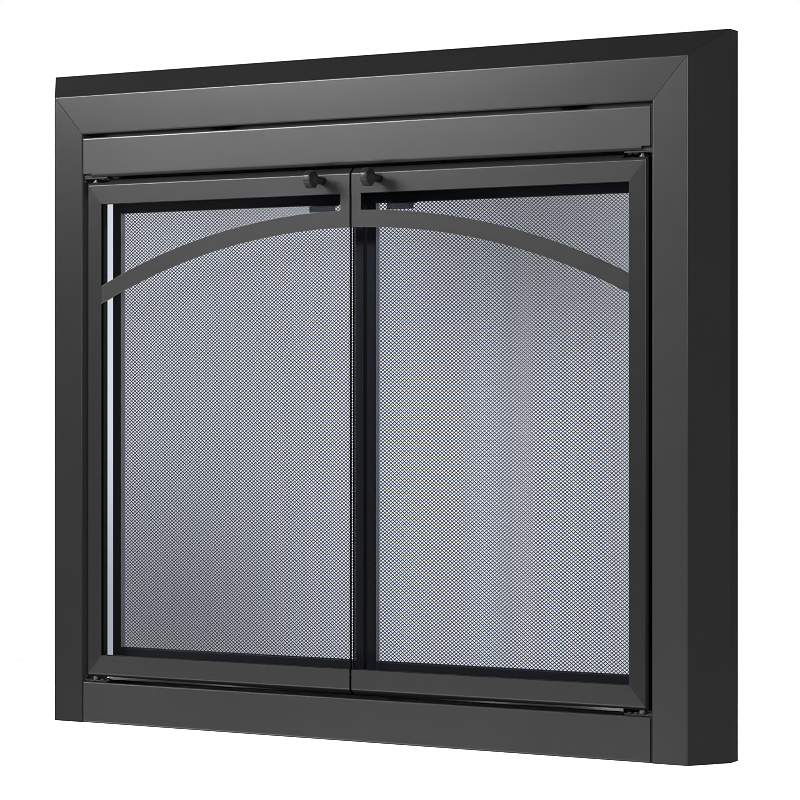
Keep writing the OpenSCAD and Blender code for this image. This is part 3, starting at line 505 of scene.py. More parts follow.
@dataclass(frozen=True)
class GlassTape(Finish):
    """Woven glass-fibre tape, dyed black: matt, with a plain weave of threads about a millimetre wide."""

    colour: str = "#202022"
    dark: tuple[float, float] = (0.0, 0.5)
    light: tuple[float, float] = (0.6, 1.4)
    bump: float = 0.5
    bump_mm: float = 0.3
    slot: str = "gasket_tape"
    roughness: float = 0.9
    sheen: float = 0.2
    thread_mm: float = 1.1
    waviness: float = 0.6

    def surface(self, tree: Tree) -> Socket:
        """Adds the tape's nodes.

        Args:
            tree: The material's node tree.

        Returns:
            The shader's output.
        """
        place = add_node(tree, "ShaderNodeTexCoord").outputs["Object"]
        scale = math.tau / WAVE_RATE / (self.thread_mm * MM)
        inputs = {"Vector": place, "Scale": scale, "Distortion": self.waviness}
        warp, weft = [
            add_node(tree, "ShaderNodeTexWave", inputs, bands_direction=way).outputs["Fac"]
            for way in ("X", "Z")
        ]
        weave = add_node(tree, "ShaderNodeMath", {0: warp, 1: weft}, operation="MULTIPLY").outputs[0]
        colour = self.mottle(tree, weave)
        inputs = {"Base Color": colour, "Roughness": self.roughness, "Sheen Weight": self.sheen}
        return self.coat(tree, weave, inputs)


@dataclass(frozen=True)
class Ferrite(Finish):
    """Sintered ferrite: matt dark grey with a fine speckle."""

    colour: str = "#3b3b3f"
    dark: tuple[float, float] = (0.35, 0.8)
    light: tuple[float, float] = (0.65, 1.2)
    slot: str = "ferrite"
    roughness: float = 0.7
    speck_mm: float = 0.8

    def surface(self, tree: Tree) -> Socket:
        """Adds the ferrite's nodes, and returns the shader's output."""
        place = add_node(tree, "ShaderNodeTexCoord").outputs["Object"]
        inputs = {"Vector": place, "Scale": 1 / (self.speck_mm * MM), "Detail": 4.0}
        speck = add_node(tree, "ShaderNodeTexNoise", inputs).outputs["Fac"]
        return self.coat(tree, speck, {"Base Color": self.mottle(tree, speck), "Roughness": self.roughness})


@dataclass(frozen=True)
class PaleFloor(Finish):
    """A matt pale floor that glows, so that it meets the pale background without an edge."""

    colour: str = "#e7e7e7"
    glow: float = 1.0

    def surface(self, tree: Tree) -> Socket:
        """Adds the floor's nodes, and returns the shader's output."""
        matt = add_node(tree, "ShaderNodeBsdfDiffuse", {"Color": linear(self.colour)}).outputs[0]
        glow = add_node(tree, "ShaderNodeEmission", {"Color": WHITE, "Strength": self.glow}).outputs[0]
        return add_node(tree, "ShaderNodeAddShader", {0: matt, 1: glow}).outputs[0]


BLACK = StovePaint("black_stove_paint", "#1b1b1c", roughness=0.45, slot="black_paint", groove_shade=1.0)
ZINC = ZincPlate("zinc_plate")
TAPE = GlassTape("woven_glass_tape")


class Side(Enum):
    """Left or right half of the pair, with its sign along X."""

    LEFT = -1
    RIGHT = 1

    @property
    def word(self) -> str:
        """The side's name, as the names of its bodies and solids start."""
        return self.name.lower()


class Workshop:
    """Keeps each finish's material, dresses the solids and hands new pieces to their bodies."""

    def __init__(self) -> None:
        """Starts with no material made."""
        self.made: dict[str, bpy.types.Material] = {}

    def material(self, finish: Finish) -> bpy.types.Material:
        """Returns a finish's material, made once."""
        if finish.name not in self.made:
            self.made[finish.name] = finish.build()
        return self.made[finish.name]

    def dress(self, finish: Finish, *nodes: str, edge: float = 0.0) -> None:
        """Gives solids a finish, and rounds their edges.

        Args:
            finish: The finish that they take.
            *nodes: The solids' names.
            edge: The width of the rounding in millimetres, or 0 for none.
        """
        for name in nodes:
            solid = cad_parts[name]
            solid.data.materials.clear()
            solid.data.materials.append(self.material(finish))
            if edge:
                weld = solid.modifiers.new("weld", "WELD")
                weld.merge_threshold = WELD
                soft = solid.modifiers.new("edges", "BEVEL")
                soft.width = edge * MM
                soft.segments = 2
                soft.limit_method = "ANGLE"
                soft.angle_limit = math.radians(SHARP_DEG)
            LOG.info("dressed %s in %s", name, finish.name)

    def finish_piece(
        self, mesh: Mesh, name: str, body: str, finish: Finish, replaced: tuple[str, ...] = (),
        smooth_deg: float = SHARP_DEG,
    ) -> bpy.types.Object:
        """Turns a bmesh into a piece that rides on a body.

        Args:
            mesh: The piece's mesh, in metres and in place. It is freed.
            name: The piece's name.
            body: The body that it rides on.
            finish: Its finish.
            replaced: The solids that it stands for.
            smooth_deg: Edges flatter than this are shaded smooth.

        Returns:
            The piece's object.
        """
        limit = math.radians(smooth_deg)
        for face in mesh.faces:
            face.smooth = True
        for edge in mesh.edges:
            edge.smooth = len(edge.link_faces) == 2 and edge.calc_face_angle(math.pi) < limit
        data = bpy.data.meshes.new(name)
        mesh.to_mesh(data)
        mesh.free()
        piece = bpy.data.objects.new(name, data)
        bpy.context.scene.collection.objects.link(piece)
        data.materials.append(self.material(finish))
        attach(piece, body)
        if replaced:
            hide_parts(*replaced)
        LOG.info("made %s with %d faces", name, len(data.polygons))
        return piece

    def fasten(
        self, node: str, body: str, how: str, kind: "Fastener", look: Callable[[Vector], Vector]
    ) -> None:
        """Makes zinc-plated fasteners that stand for a node's solids, as one piece.

        Args:
            node: The node.
            body: The body that they ride on.
            how: How they are made, for the piece's name.
            kind: The fastener.
            look: Gives the direction in which the head at a place looks.
        """
        mesh = bmesh.new()
        for low, high in islands(node):
            kind.stand_for(mesh, (low, high), look((low + high) / 2))
        self.finish_piece(mesh, f"{node}_{how}", body, ZINC, (node,), smooth_deg=35.0)


# ------------------------------------------------------------
# Fasteners

# A pan head's upright rim and its outline above that, as shares of its radius and height.
PAN_RIM = 0.4
PAN_DOME = ((0.9, 0.75), (0.68, 0.95), (0.4, 1.0), (0.0, 1.0))
# A pressed washer's upright rim, as a share of its thickness, and its flat top and the hexagon on it, of its
# radius. A hexagon's flat top is a share of what lies between its flats.
WASHER_RIM, WASHER_TOP, WASHER_HEX = 0.6, 0.93, 0.8
HEX_TOP = 0.95
# A thread's core and the foot of its ridge, as shares of the shank's and the core's radius.
CORE, RIDGE_FOOT = 0.86, 0.96
# Half the width of a thread's ridge at its foot and at its crest, as shares of the pitch.
RIDGE_WIDE, RIDGE_NARROW = 0.42, 0.08
# A rod's chamfer as a share of its radius, and the most that it is in millimetres.
CHAMFER, CHAMFER_MOST = 0.3, 0.4
# Faces round a thread, a rod and a hexagon's first outline, and from a dome's rim to its top.
THREAD_STEPS, ROD_STEPS, HEX_STEPS, DOME_STEPS = 16, 20, 36, 5


class Head(Enum):
    """What a fastener's head looks like."""

    HEX_WASHER = "hexagon on a pressed washer"
    PAN_SLOT = "low dome with a slot"
    DOME = "plain dome"
    HEX = "hexagon with a chamfered top"


@dataclass(frozen=True)
class Fastener:
    """A screw, rivet, bolt or stud, turned and cut along +Z, with its head's seat at height 0.

    Attributes:
        head: The kind of head.
        head_r: The head's largest radius, in millimetres.
        head_h: The head's height above its seat.
        shank_r: The shank's radius.
        shank_l: The shank's length below the seat, where it doesn't come from a solid.
        pitch: The thread's pitch, or 0 for a plain shank.
        washer_t: The thickness of a pressed washer.
        slot_w: The width of a driver slot.
        tail: How far the rod stands out above the head, as through a nut.
    """

    head: Head
    head_r: float
    head_h: float
    shank_r: float
    shank_l: float = 0.5
    pitch: float = 0.0
    washer_t: float = 0.6
    slot_w: float = 0.9
    tail: float = 0.0

    def stand_for(self, mesh: Mesh, box: Box, way: Vector, share: float = 1.0) -> None:
        """Adds the fastener where its solid is, from end to end.

        Args:
            mesh: The mesh that takes it.
            box: The low and high corner of its solid.
            way: The direction in which its head looks, along an axis.
            share: How much of the solid's length it takes, from its head.
        """
        depth = self.head_h + self.tail
        length = abs((box[1] - box[0]).dot(way)) / MM * share
        replace(self, shank_l=length - depth).build(mesh, box, way, depth)

    def build(self, mesh: Mesh, box: Box, way: Vector, depth: float) -> None:
        """Adds the fastener to a mesh.

        Args:
            mesh: The mesh that takes it.
            box: The low and high corner of its solid.
            way: The direction in which its head looks, along an axis.
            depth: How far its seat is below that end of the box, in millimetres.
        """
        low, high = box
        seat = (low + high) / 2 + way * (abs((high - low).dot(way)) / 2 - depth * MM)
        place = Matrix.Translation(seat) @ way.to_track_quat("Z", "Y").to_matrix().to_4x4()
        part = bmesh.new()
        self.build_head(part)
        self.build_rod(part, -self.shank_l, 0.0)
        if self.tail:
            self.build_rod(part, self.head_h, self.head_h + self.tail)
        bmesh.ops.transform(part, matrix=place, verts=part.verts[:])
        data = bpy.data.meshes.new("fastener")
        part.to_mesh(data)
        part.free()
        mesh.from_mesh(data)
        bpy.data.meshes.remove(data)

    def build_head(self, part: Mesh) -> None:
        """Adds the head. A slotted dome is two halves, one on each side of the slot.

        Args:
            part: The fastener's own mesh.
        """
        radius, height, washer = self.head_r, self.head_h, self.washer_t
        if self.head is Head.DOME:
            arc = [math.pi / 2 * step / DOME_STEPS for step in range(DOME_STEPS + 1)]
            lathe(part, [(0, 0), *[(radius * math.cos(a), height * math.sin(a)) for a in arc]])
        elif self.head is Head.PAN_SLOT:
            seat = height * PAN_RIM
            lathe(part, [(0, 0), (radius, 0), (radius, seat), (0, seat)])
            dome = [(radius * r, height * h) for r, h in PAN_DOME]
            for way in (-1, 1):
                half = lathe(part, [(0, seat), (radius, seat), *dome])
                cut_away(part, half, Vector((way * self.slot_w / 2 * MM, 0, 0)), Vector((-way, 0, 0)))
        elif self.head is Head.HEX_WASHER:
            rim = [(radius, 0), (radius, washer * WASHER_RIM), (radius * WASHER_TOP, washer)]
            lathe(part, [(0, 0), *rim, (0, washer)])
            self.build_hexagon(part, radius * WASHER_HEX, washer, height)
        else:
            self.build_hexagon(part, radius, 0.0, height)

    def build_hexagon(self, part: Mesh, corner_r: float, foot: float, top: float) -> None:
        """Adds a hexagon whose top corners are turned away by 30 degrees.

        Args:
            part: The fastener's own mesh.
            corner_r: Its radius at the corners, in millimetres.
            foot: The height of its foot.
            top: The height of its top.
        """
        across = corner_r * math.sqrt(3)
        inner = across / 2 * HEX_TOP
        drop = (corner_r - inner) * math.tan(math.radians(30))
        outline = [(0, foot), (corner_r, foot), (corner_r, top - drop), (inner, top), (0, top)]
        verts = set(lathe(part, outline, HEX_STEPS))
        for side in range(6):
            angle = math.tau * side / 6
            way = Vector((math.cos(angle), math.sin(angle), 0.0))
            before = set(part.verts)
            cut_away(part, verts, way * across / 2 * MM, way)
            verts = {v for v in verts if v.is_valid} | (set(part.verts) - before)

    def build_rod(self, part: Mesh, foot: float, top: float) -> None:
        """Adds a rod with a chamfered foot, and its thread as one turned-up ridge.

        Args:
            part: The fastener's own mesh.
            foot: The height of its foot, in millimetres.
            top: The height of its top.
        """
        radius, length, pitch = self.shank_r, top - foot, self.pitch
        core = radius * CORE if pitch else radius
        chamfer = min(CHAMFER_MOST, radius * CHAMFER)
        outline = [(0, top), (core, top), (core, foot + chamfer), (core - chamfer, foot), (0, foot)]
        lathe(part, outline, ROD_STEPS)
        if not pitch or length < 3 * pitch:
            return
        turns = (length - 2 * pitch) / pitch
        sunk = core * RIDGE_FOOT
        ridge = ((sunk, RIDGE_WIDE), (radius, RIDGE_NARROW), (radius, -RIDGE_NARROW), (sunk, -RIDGE_WIDE))
        verts = [part.verts.new((r * MM, 0.0, (top - pitch + h * pitch) * MM)) for r, h in ridge]
        edges = [part.edges.new(pair) for pair in zip(verts, [*verts[1:], verts[0]])]
        before = set(part.faces)
        bmesh.ops.spin(
            part, geom=verts + edges, cent=(0, 0, 0), axis=UP, dvec=-UP * pitch * MM / THREAD_STEPS,
            angle=math.tau * turns, steps=round(THREAD_STEPS * turns),
        )
        ends = {e for f in part.faces if f not in before for e in f.edges if e.is_boundary}
        bmesh.ops.holes_fill(part, edges=list(ends), sides=len(ridge))
        bmesh.ops.recalc_face_normals(part, faces=[f for f in part.faces if f not in before])


# ------------------------------------------------------------
# Sub-assemblies


@dataclass
class FixedFront:
    """The trim, the two panels and what is fixed to them.

    A plug's two corners are those of the right one, from the header's own outer, front and lower corner.
    """

    shop: Workshop
    # Painted light and shade: these charcoal paints are lit and shaded copies of one paint, each piece a tone     lighter or darker for how the light falls on it.
    top_lit_paint: StovePaint = StovePaint("charcoal_paint_lit_tone_top_trim", "#323232")
    header_lit_paint: StovePaint = StovePaint("charcoal_paint_lit_tone_header", "#454545")
    lower_lit_paint: StovePaint = StovePaint("charcoal_paint_lit_tone_lower_panel", "#3a3a3a")
    # The left trim's inner return gets painted light: a lighter colour where light falls on it, and no
    # painted groove shade.
    left_lit_paint: StovePaint = StovePaint(
        "charcoal_paint_lit_tone_left_trim", "#282828", groove_shade=1.0, flange_light_colour="#454545", flange_at=(399.0,)
    )
    right_lit_paint: StovePaint = StovePaint("charcoal_paint_lit_tone_right_trim", "#3a3a3a")
    ferrite: Ferrite = Ferrite("sintered_ferrite")
    sheet_edge: float = 0.5
    fitting_edge: float = 0.3
    plate_edge: float = 0.25
    middle_height: float = 400.0
    panel_screw: Fastener = Fastener(Head.HEX_WASHER, head_r=3.6, head_h=2.0, shank_r=2.0, pitch=1.4)
    shelf_screw: Fastener = Fastener(Head.PAN_SLOT, head_r=3.0, head_h=1.6, shank_r=1.7, pitch=1.2)
    corner_stud: Fastener = Fastener(Head.HEX, head_r=3.8, head_h=3.0, shank_r=2.0, tail=2.0)
    rivet: Fastener = Fastener(Head.DOME, head_r=2.4, head_h=0.9, shank_r=1.6)
    clamp_bolt: Fastener = Fastener(Head.HEX, head_r=7.5, head_h=5.3, shank_r=4.0, pitch=1.25)
    lintel_bolt: Fastener = Fastener(Head.HEX, head_r=5.8, head_h=4.0, shank_r=3.0, pitch=1.0)
    lintel_nut: Fastener = Fastener(Head.HEX, head_r=5.8, head_h=5.0, shank_r=3.0)
    lintel_bolt_tail: float = 2.0
    shelf_plug: Box = (Vector((-22.5, 4.2, 1.3)), Vector((-1.6, 10.0, 7.6)))
    guard_plug: Box = (Vector((-20.6, 45.0, -6.8)), Vector((-0.4, 49.0, -0.2)))
    plug_edge: float = 1.2

    def build(self) -> None:
        """Dresses the fixed solids, and makes their fasteners and the tape plugs that also darken gaps."""
        dress = self.shop.dress
        dress(self.top_lit_paint, "top_trim", edge=self.sheet_edge)
        dress(self.header_lit_paint, "header_panel", edge=self.sheet_edge)
        dress(self.lower_lit_paint, "lower_panel", edge=self.sheet_edge)
        dress(self.left_lit_paint, "left_trim", edge=self.sheet_edge)
        dress(self.right_lit_paint, "right_trim", edge=self.sheet_edge)
        dress(BLACK, "upper_guard_strip", "lower_guard_strip", edge=self.fitting_edge)
        dress(BLACK, "door_brackets", "catch_housings", "clamp_pads", edge=self.fitting_edge)
        dress(ZINC, "corner_brackets", "screen_brackets", "lintel_brackets", edge=self.plate_edge)
        dress(self.ferrite, "catch_magnets", "screen_magnets", edge=self.fitting_edge)
        self.make_screws()
        self.make_rivets()
        self.make_bolts()
        self.make_tape_shade_plugs()

    def make_screws(self) -> None:
        """Makes the panel screws, the shelf screws and the corner studs with their nuts."""
        rows = {
            "panel_screws": (self.panel_screw, lambda at: Vector((-math.copysign(1, at.x), 0, 0))),
            "shelf_screws": (self.shelf_screw, lambda at: UP if at.z < self.middle_height * MM else -UP),
            "corner_studs": (self.corner_stud, lambda at: BACK),
        }
        for node, (kind, look) in rows.items():
            self.shop.fasten(node, "root", "turned", kind, look)

    def make_rivets(self) -> None:
        """Makes the blind rivets of the door brackets, domed at both ends."""
        name = "bracket_rivets"
        mesh = bmesh.new()
        for box in islands(name):
            for way in (Vector((1, 0, 0)), Vector((-1, 0, 0))):
                self.rivet.stand_for(mesh, box, way, share=0.5)
        self.shop.finish_piece(mesh, f"{name}_domed", "root", ZINC, (name,), smooth_deg=40.0)

    def make_bolts(self) -> None:
        """Makes the clamp bolts, and the bolts that hold their brackets, with their nuts."""
        self.shop.fasten("clamp_bolts", "root", "cut", self.clamp_bolt, lambda at: BACK)
        name, nut = "lintel_bracket_bolts", self.lintel_nut
        mesh = bmesh.new()
        for box in islands(name):
            self.lintel_bolt.stand_for(mesh, box, -UP)
            nut.build(mesh, box, UP, self.lintel_bolt_tail + nut.head_h)
        self.shop.finish_piece(mesh, f"{name}_cut", "root", ZINC, (name,), smooth_deg=35.0)

    def make_tape_shade_plugs(self) -> None:
        """Tucks plugs of glass tape in above the ends of the header's shelf and past the guard's ends. They
        are
        partly seals and partly painted shade: dark pieces in gaps where only shade shows, hiding the pale
        background.
        """
        low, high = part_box("header_panel")
        corner = Vector((high.x, low.y, low.z))
        for name, (near, far) in {"shelf_plugs": self.shelf_plug, "guard_plugs": self.guard_plug}.items():
            mesh = bmesh.new()
            for side in Side:
                middle = corner + (near + far) / 2 * MM
                middle.x *= side.value
                add_block(mesh, middle, (far - near) * MM, self.plug_edge, segments=3)
            self.shop.finish_piece(mesh, f"tape_{name}", "root", TAPE)


@dataclass
class GlassDoor:
    """One framed glass door with its arched bar, knob, pane and hidden fittings."""

    shop: Workshop
    side: Side
    # Painted light and shade: the rail and stile paints are lit and shaded copies of one charcoal paint, toned for how     the light falls on each.
    rail_lit_paint: StovePaint = StovePaint("charcoal_paint_lit_tone_door_rail", "#383838")
    stile_lit_paint: StovePaint = StovePaint("charcoal_paint_door_stile", "#282828")
    knob_paint: StovePaint = StovePaint("charcoal_paint_knob", "#2f2f2f", roughness=0.3)
    glass: ClearGlass = ClearGlass("clear_tempered_glass")
    ground_edge: GroundEdge = GroundEdge("ground_glass_edge")
    sheet_edge: float = 0.5
    stem_edge: float = 0.3
    fitting_edge: float = 0.25
    pane_chamfer: float = 0.5
    knob_sides: int = 8
    knob_chamfer: float = 1.0
    retainer_screw: Fastener = Fastener(Head.PAN_SLOT, head_r=3.0, head_h=1.4, shank_r=1.6, pitch=1.0)
    knob_screw: Fastener = Fastener(Head.PAN_SLOT, head_r=3.6, head_h=3.0, shank_r=2.5, pitch=0.9)

    def build(self) -> None:
        """Dresses the door's solids, and makes its pane, knob and screws."""
        word, dress = self.side.word, self.shop.dress
        rails = [f"{word}_door_{part}" for part in ("top_rail", "bottom_rail", "arch")]
        dress(self.rail_lit_paint, *rails, edge=self.sheet_edge)
        dress(self.stile_lit_paint, f"{word}_door_stile", edge=self.sheet_edge)
        dress(self.knob_paint, f"{word}_knob_stem", edge=self.stem_edge)
        dress(BLACK, f"{word}_retainers", edge=self.fitting_edge)
        dress(TAPE, f"{word}_gasket")
        fittings = [f"{word}_{part}" for part in ("strike_plate", "door_pins", "door_bushes")]
        dress(ZINC, *fittings, edge=self.fitting_edge)
        self.make_pane()
        self.make_knob()
        self.make_screws()

    def make_pane(self) -> None:
        """Makes the pane, with ground edges."""
        word = self.side.word
        name = f"{word}_glass"
        low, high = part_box(name)
        mesh = bmesh.new()
        add_block(mesh, (low + high) / 2, high - low, self.pane_chamfer, segments=1)
        pane = self.shop.finish_piece(
            mesh, f"{name}_pane", f"{word}_door", self.glass, (name,), smooth_deg=10.0
        )
        pane.data.materials.append(self.shop.material(self.ground_edge))
        for face in pane.data.polygons:
            face.material_index = 0 if abs(face.normal.y) > FACING else 1

    def make_knob(self) -> None:
        """Makes the knob with its flats and chamfered edges."""
        word = self.side.word
        name = f"{word}_knob"
        low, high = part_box(name)
        size = high - low
        mesh = bmesh.new()
        half_side = math.pi / self.knob_sides
        turn = Matrix.Rotation(math.pi / 2, 4, "Y") @ Matrix.Rotation(half_side, 4, "Z")
        radius = size.z / 2 / math.cos(half_side)
        bmesh.ops.create_cone(
            mesh, cap_ends=True, segments=self.knob_sides, radius1=radius, radius2=radius, depth=size.x,
            matrix=Matrix.Translation((low + high) / 2) @ turn,
        )
        round_edges(mesh, mesh.edges[:], self.knob_chamfer, segments=2)
        self.shop.finish_piece(
            mesh, f"{name}_body", f"{word}_door", self.knob_paint, (name,), smooth_deg=25.0
        )

    def make_screws(self) -> None:
        """Makes the screws of the retainers and of the knob, whose heads look to the back."""
        word = self.side.word
        for kind, screw in {"retainer_screws": self.retainer_screw, "knob_screw": self.knob_screw}.items():
            self.shop.fasten(f"{word}_{kind}", f"{word}_door", "turned", screw, lambda at: BACK)


@dataclass
class ScreenDoor:
    """One screen door: channel frame, woven mesh, pull tab and pins."""

    shop: Workshop
    side: Side
    # A darker, shaded copy of the black paint, with a pale painted reflection of the bright background on the     channels' side flanges.
    channel_shaded_paint: StovePaint = replace(
        BLACK, name="black_channel_paint", colour="#141415", gloss=0.25, flange_light_colour="#b8babd",
        flange_at=(14.8, 365.2),
    )
    wire_paint: StovePaint = replace(BLACK, name="black_wire_paint", colour="#1a1a1c")
    sheet_edge: float = 0.25
    pin_edge: float = 0.2
    diamond_w: float = 5.5
    diamond_h: float = 4.2
    wire_w: float = 1.12
    wire_t: float = 0.34
    wire_sides: int = 6
    wire_spare: float = 1.02

    def build(self) -> None:
        """Dresses the screen's solids and weaves its mesh."""
        word, dress = self.side.word, self.shop.dress
        dress(self.channel_shaded_paint, f"{word}_screen_stiles", edge=self.sheet_edge)
        dress(BLACK, f"{word}_screen_rails", f"{word}_pull_tab", edge=self.sheet_edge)
        dress(ZINC, f"{word}_screen_pins", edge=self.pin_edge)
        self.weave()

    def weave(self) -> None:
        """Lays two crossing families of flat wires over the panel and trims them to its edges."""
        word = self.side.word
        name = f"{word}_mesh"
        low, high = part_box(name)
        centre, size = (low + high) / 2, high - low
        slant = math.atan2(self.diamond_h, self.diamond_w)
        length = size.z / math.sin(slant) * self.wire_spare
        reach = (size.x + size.z * self.diamond_w / self.diamond_h) / 2
        count = math.ceil(reach / (self.diamond_w * MM))
        shape = Matrix.Diagonal((self.wire_w * MM / 2, self.wire_t * MM / 2, length, 1.0))
        mesh = bmesh.new()
        for family in (-1, 1):
            depth = centre.y + family * (size.y - self.wire_t * MM) / 2
            turn = Matrix.Rotation(family * slant, 4, "Y") @ Matrix.Rotation(math.pi / 2, 4, "Y")
            for step in range(-count, count + 1):
                place = Vector((centre.x + step * self.diamond_w * MM, depth, centre.z))
                bmesh.ops.create_cone(
                    mesh, cap_ends=True, segments=self.wire_sides, radius1=1.0, radius2=1.0, depth=1.0,
                    matrix=Matrix.Translation(place) @ turn @ shape,
                )
        for corner, way in ((low, -1), (high, 1)):
            for axis in (Vector((way, 0, 0)), Vector((0, 0, way))):
                whole = mesh.verts[:] + mesh.edges[:] + mesh.faces[:]
                bmesh.ops.bisect_plane(mesh, geom=whole, plane_co=corner, plane_no=axis, clear_outer=True)
        rims = [e for e in mesh.edges if e.is_boundary]
        bmesh.ops.holes_fill(mesh, edges=rims, sides=2 * self.wire_sides)
        self.shop.finish_piece(
            mesh, f"{name}_weave", f"{word}_screen", self.wire_paint, (name,), smooth_deg=70.0
        )


# ------------------------------------------------------------
# Studio


@dataclass(frozen=True)
class Softbox:
    """A rectangular lamp that looks at the middle of the object.

    Attributes:
        name: The lamp's name.
        azimuth: Degrees round from the object's front, positive to its right.
        elevation: Degrees above the object's middle.
        power: Watts.
        width: Metres.
        height: Metres.
        distance: Metres from the middle.
    """

    name: str
    azimuth: float
    elevation: float
    power: float
    width: float = 0.9
    height: float = 0.5
    distance: float = 2.6

    def build(self, target: Vector) -> None:
        """Places the lamp.

        Args:
            target: The point that it faces.
        """
        lamp = bpy.data.lights.new(self.name, "AREA")
        lamp.shape = "RECTANGLE"
        lamp.size, lamp.size_y = self.width, self.height
        lamp.energy = self.power
        away = toward(180 - self.azimuth, self.elevation)
        holder = bpy.data.objects.new(self.name, lamp)
        holder.location = target + away * self.distance
        holder.rotation_euler = (-away).to_track_quat("-Z", "Y").to_euler()
        holder.visible_camera = False
        bpy.context.scene.collection.objects.link(holder)


@dataclass(frozen=True)
class Patch:
    """A soft patch of the surroundings, far away.

    Attributes:
        azimuth: Degrees from +Y towards +X, as a compass counts.
        elevation: Degrees above the horizon.
        radius: Degrees from its middle to where it ends.
        change: What it adds to the brightness at its middle.
    """

    azimuth: float
    elevation: float
    radius: float
    change: float

    def build(self, tree: Tree, place: Socket) -> Socket:
        """Adds the patch's nodes.

        Args:
            tree: The world's node tree.
            place: The direction in which the world is seen.

        Returns:
            What the patch adds to the brightness there.
        """
        middle = toward(self.azimuth, self.elevation)
        near = add_node(tree, "ShaderNodeVectorMath", {0: place, 1: middle}, operation="DISTANCE")
        reach = 2 * math.sin(math.radians(self.radius) / 2)
        return add_node(
            tree,
            "ShaderNodeMapRange",
            {"Value": near.outputs["Value"], "From Max": reach, "To Min": self.change, "To Max": 0.0},
            interpolation_type="SMOOTHSTEP",
        ).outputs[0]


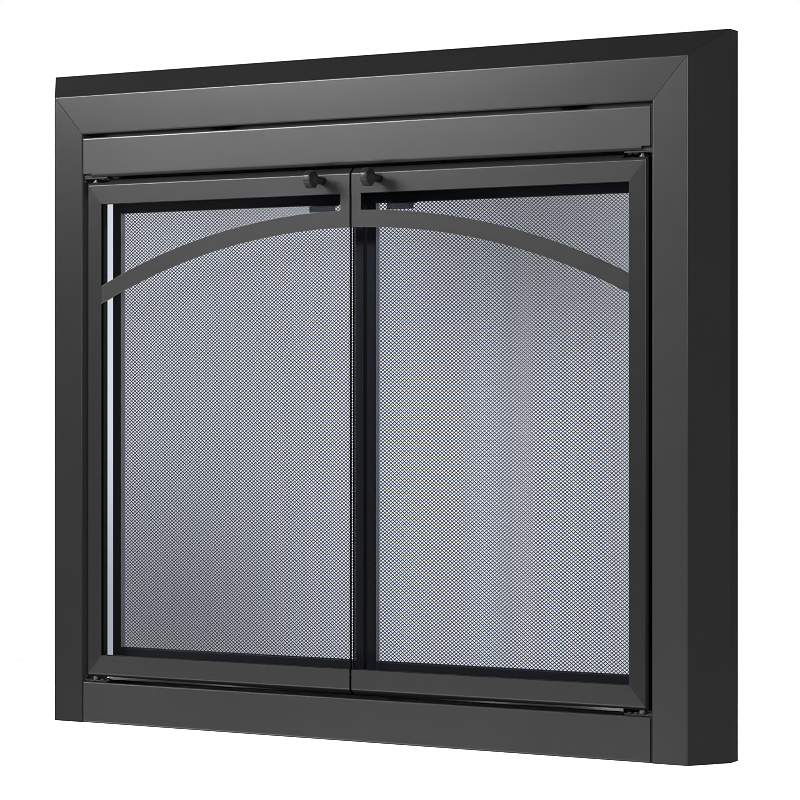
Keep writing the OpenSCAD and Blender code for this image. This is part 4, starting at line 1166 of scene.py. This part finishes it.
@dataclass
class Studio:
    """A pale floor, soft light and the camera at the photograph's angle.

    Only surfaces see the patches in mirrored, and only the camera, through the panes, those in behind.
    """

    camera_azimuth: float = 29.5
    camera_place: tuple[float, float, float] = (1667.9, -2893.85, 416.6)
    lens: float = 121.76
    sensor: float = 36.0
    horizon_shift: float = -0.00246
    clip: tuple[float, float] = (0.05, 200.0)
    floor_size: float = 60.0
    floor_behind: float = 0.55
    bounce: float = 0.75
    horizon_blur: float = 0.6
    lamps: tuple[Softbox, ...] = (
        Softbox("key_left", -60, 27, power=4.7),
        Softbox("key_middle", -45, 27, power=22),
        Softbox("key_right", -33, 27, power=40),
        Softbox("fill_front", 20, 14, power=8, width=1.1, height=0.8),
        Softbox("fill_right", 45, 12, power=12, width=1.1, height=0.8),
        Softbox("back", 165, 35, power=40, width=1.2, height=0.9),
        Softbox("floor_glow", -30, -30, power=12, width=1.4, height=0.25),
    )
    mirrored: tuple[Patch, ...] = (Patch(-142, 0, radius=10, change=0.22),)
    behind: tuple[Patch, ...] = (
        Patch(-34.5, -5, radius=5, change=-0.45),
        Patch(-26.8, 3.3, radius=4.2, change=-0.35),
        Patch(-29, -1, radius=6, change=0.14),
    )
    filter_width: float = 1.0
    crispness: float = 0.1
    gamma: float = 2.2

    def build(self) -> None:
        """Makes the camera, the floor, the world and the lamps."""
        self.make_camera()
        self.make_floor()
        self.make_world()
        self.make_crisp()
        low, high = cad_bounds
        for lamp in self.lamps:
            lamp.build((low + high) / 2)

    def make_camera(self) -> None:
        """Places a level camera to the object's right."""
        lens = bpy.data.cameras.new("camera")
        lens.lens, lens.sensor_width, lens.shift_y = self.lens, self.sensor, self.horizon_shift
        lens.clip_start, lens.clip_end = self.clip
        holder = bpy.data.objects.new("camera", lens)
        holder.location = Vector(self.camera_place) * MM
        holder.rotation_euler = (math.pi / 2, 0.0, math.radians(self.camera_azimuth))
        bpy.context.scene.collection.objects.link(holder)
        bpy.context.scene.camera = holder
        bpy.context.scene.view_settings.view_transform = "Standard"

    def make_floor(self) -> None:
        """Lays the floor."""
        mesh = bmesh.new()
        half = self.floor_size / 2
        middle = Matrix.Translation((0.0, self.floor_behind - half, 0.0))
        bmesh.ops.create_grid(mesh, x_segments=1, y_segments=1, size=half, matrix=middle)
        data = bpy.data.meshes.new("floor")
        mesh.to_mesh(data)
        mesh.free()
        floor = bpy.data.objects.new("floor", data)
        bpy.context.scene.collection.objects.link(floor)
        data.materials.append(PaleFloor("pale_floor").build())
        floor.visible_diffuse = False
        floor.visible_glossy = False
        floor.visible_shadow = False

    def make_world(self) -> None:
        """Shows white to the camera, uneven light through the panes, and a dim studio to the surfaces."""
        world = bpy.data.worlds.new("studio")
        bpy.context.scene.world = world
        world.use_nodes = True
        tree = world.node_tree
        tree.nodes.clear()
        place = add_node(tree, "ShaderNodeTexCoord").outputs["Generated"]
        height = add_node(tree, "ShaderNodeSeparateXYZ", {"Vector": place}).outputs["Z"]
        dim = add_node(
            tree,
            "ShaderNodeMapRange",
            {"Value": height, "From Max": -self.horizon_blur, "To Max": self.bounce},
            interpolation_type="SMOOTHSTEP",
        ).outputs[0]
        levels = {"surfaces": dim, "panes": 1.0}
        for who, patches in (("surfaces", self.mirrored), ("panes", self.behind)):
            for patch in patches:
                inputs = {0: levels[who], 1: patch.build(tree, place)}
                levels[who] = add_node(tree, "ShaderNodeMath", inputs, operation="ADD").outputs[0]
        path = add_node(tree, "ShaderNodeLightPath").outputs
        panes, seen = path["Transparent Depth"], path["Is Camera Ray"]
        through = add_node(tree, "ShaderNodeMath", {0: panes, 1: 0.5}, operation="GREATER_THAN").outputs[0]
        inputs = {0: through, 2: 1.0, 3: levels["panes"]}
        shown = add_node(tree, "ShaderNodeMix", inputs, data_type="FLOAT").outputs[0]
        inputs = {0: seen, 2: levels["surfaces"], 3: shown}
        level = add_node(tree, "ShaderNodeMix", inputs, data_type="FLOAT").outputs[0]
        back = add_node(tree, "ShaderNodeBackground", {"Color": WHITE, "Strength": level})
        add_node(tree, "ShaderNodeOutputWorld", {"Surface": back.outputs[0]})

    def make_crisp(self) -> None:
        """Draws fine detail as crisply as a product photograph: a narrow filter and a mild sharpening."""
        scene = bpy.context.scene
        scene.cycles.filter_width = self.filter_width
        scene.use_nodes = True
        tree = scene.node_tree
        tree.nodes.clear()
        picture = add_node(tree, "CompositorNodeRLayers").outputs["Image"]
        even = add_node(tree, "CompositorNodeGamma", {"Image": picture, "Gamma": 1 / self.gamma}).outputs[0]
        inputs = {"Image": even, "Fac": self.crispness}
        crisp = add_node(tree, "CompositorNodeFilter", inputs, filter_type="SHARPEN_DIAMOND").outputs[0]
        again = add_node(tree, "CompositorNodeGamma", {"Image": crisp, "Gamma": self.gamma}).outputs[0]
        add_node(tree, "CompositorNodeComposite", {"Image": again})


def main() -> None:
    """Builds the studio and dresses every sub-assembly."""
    logging.basicConfig(level=logging.INFO, format="%(name)s: %(message)s")
    shop = Workshop()
    Studio().build()
    FixedFront(shop).build()
    for side in Side:
        GlassDoor(shop, side).build()
        ScreenDoor(shop, side).build()


if __name__ == "__main__":
    main()
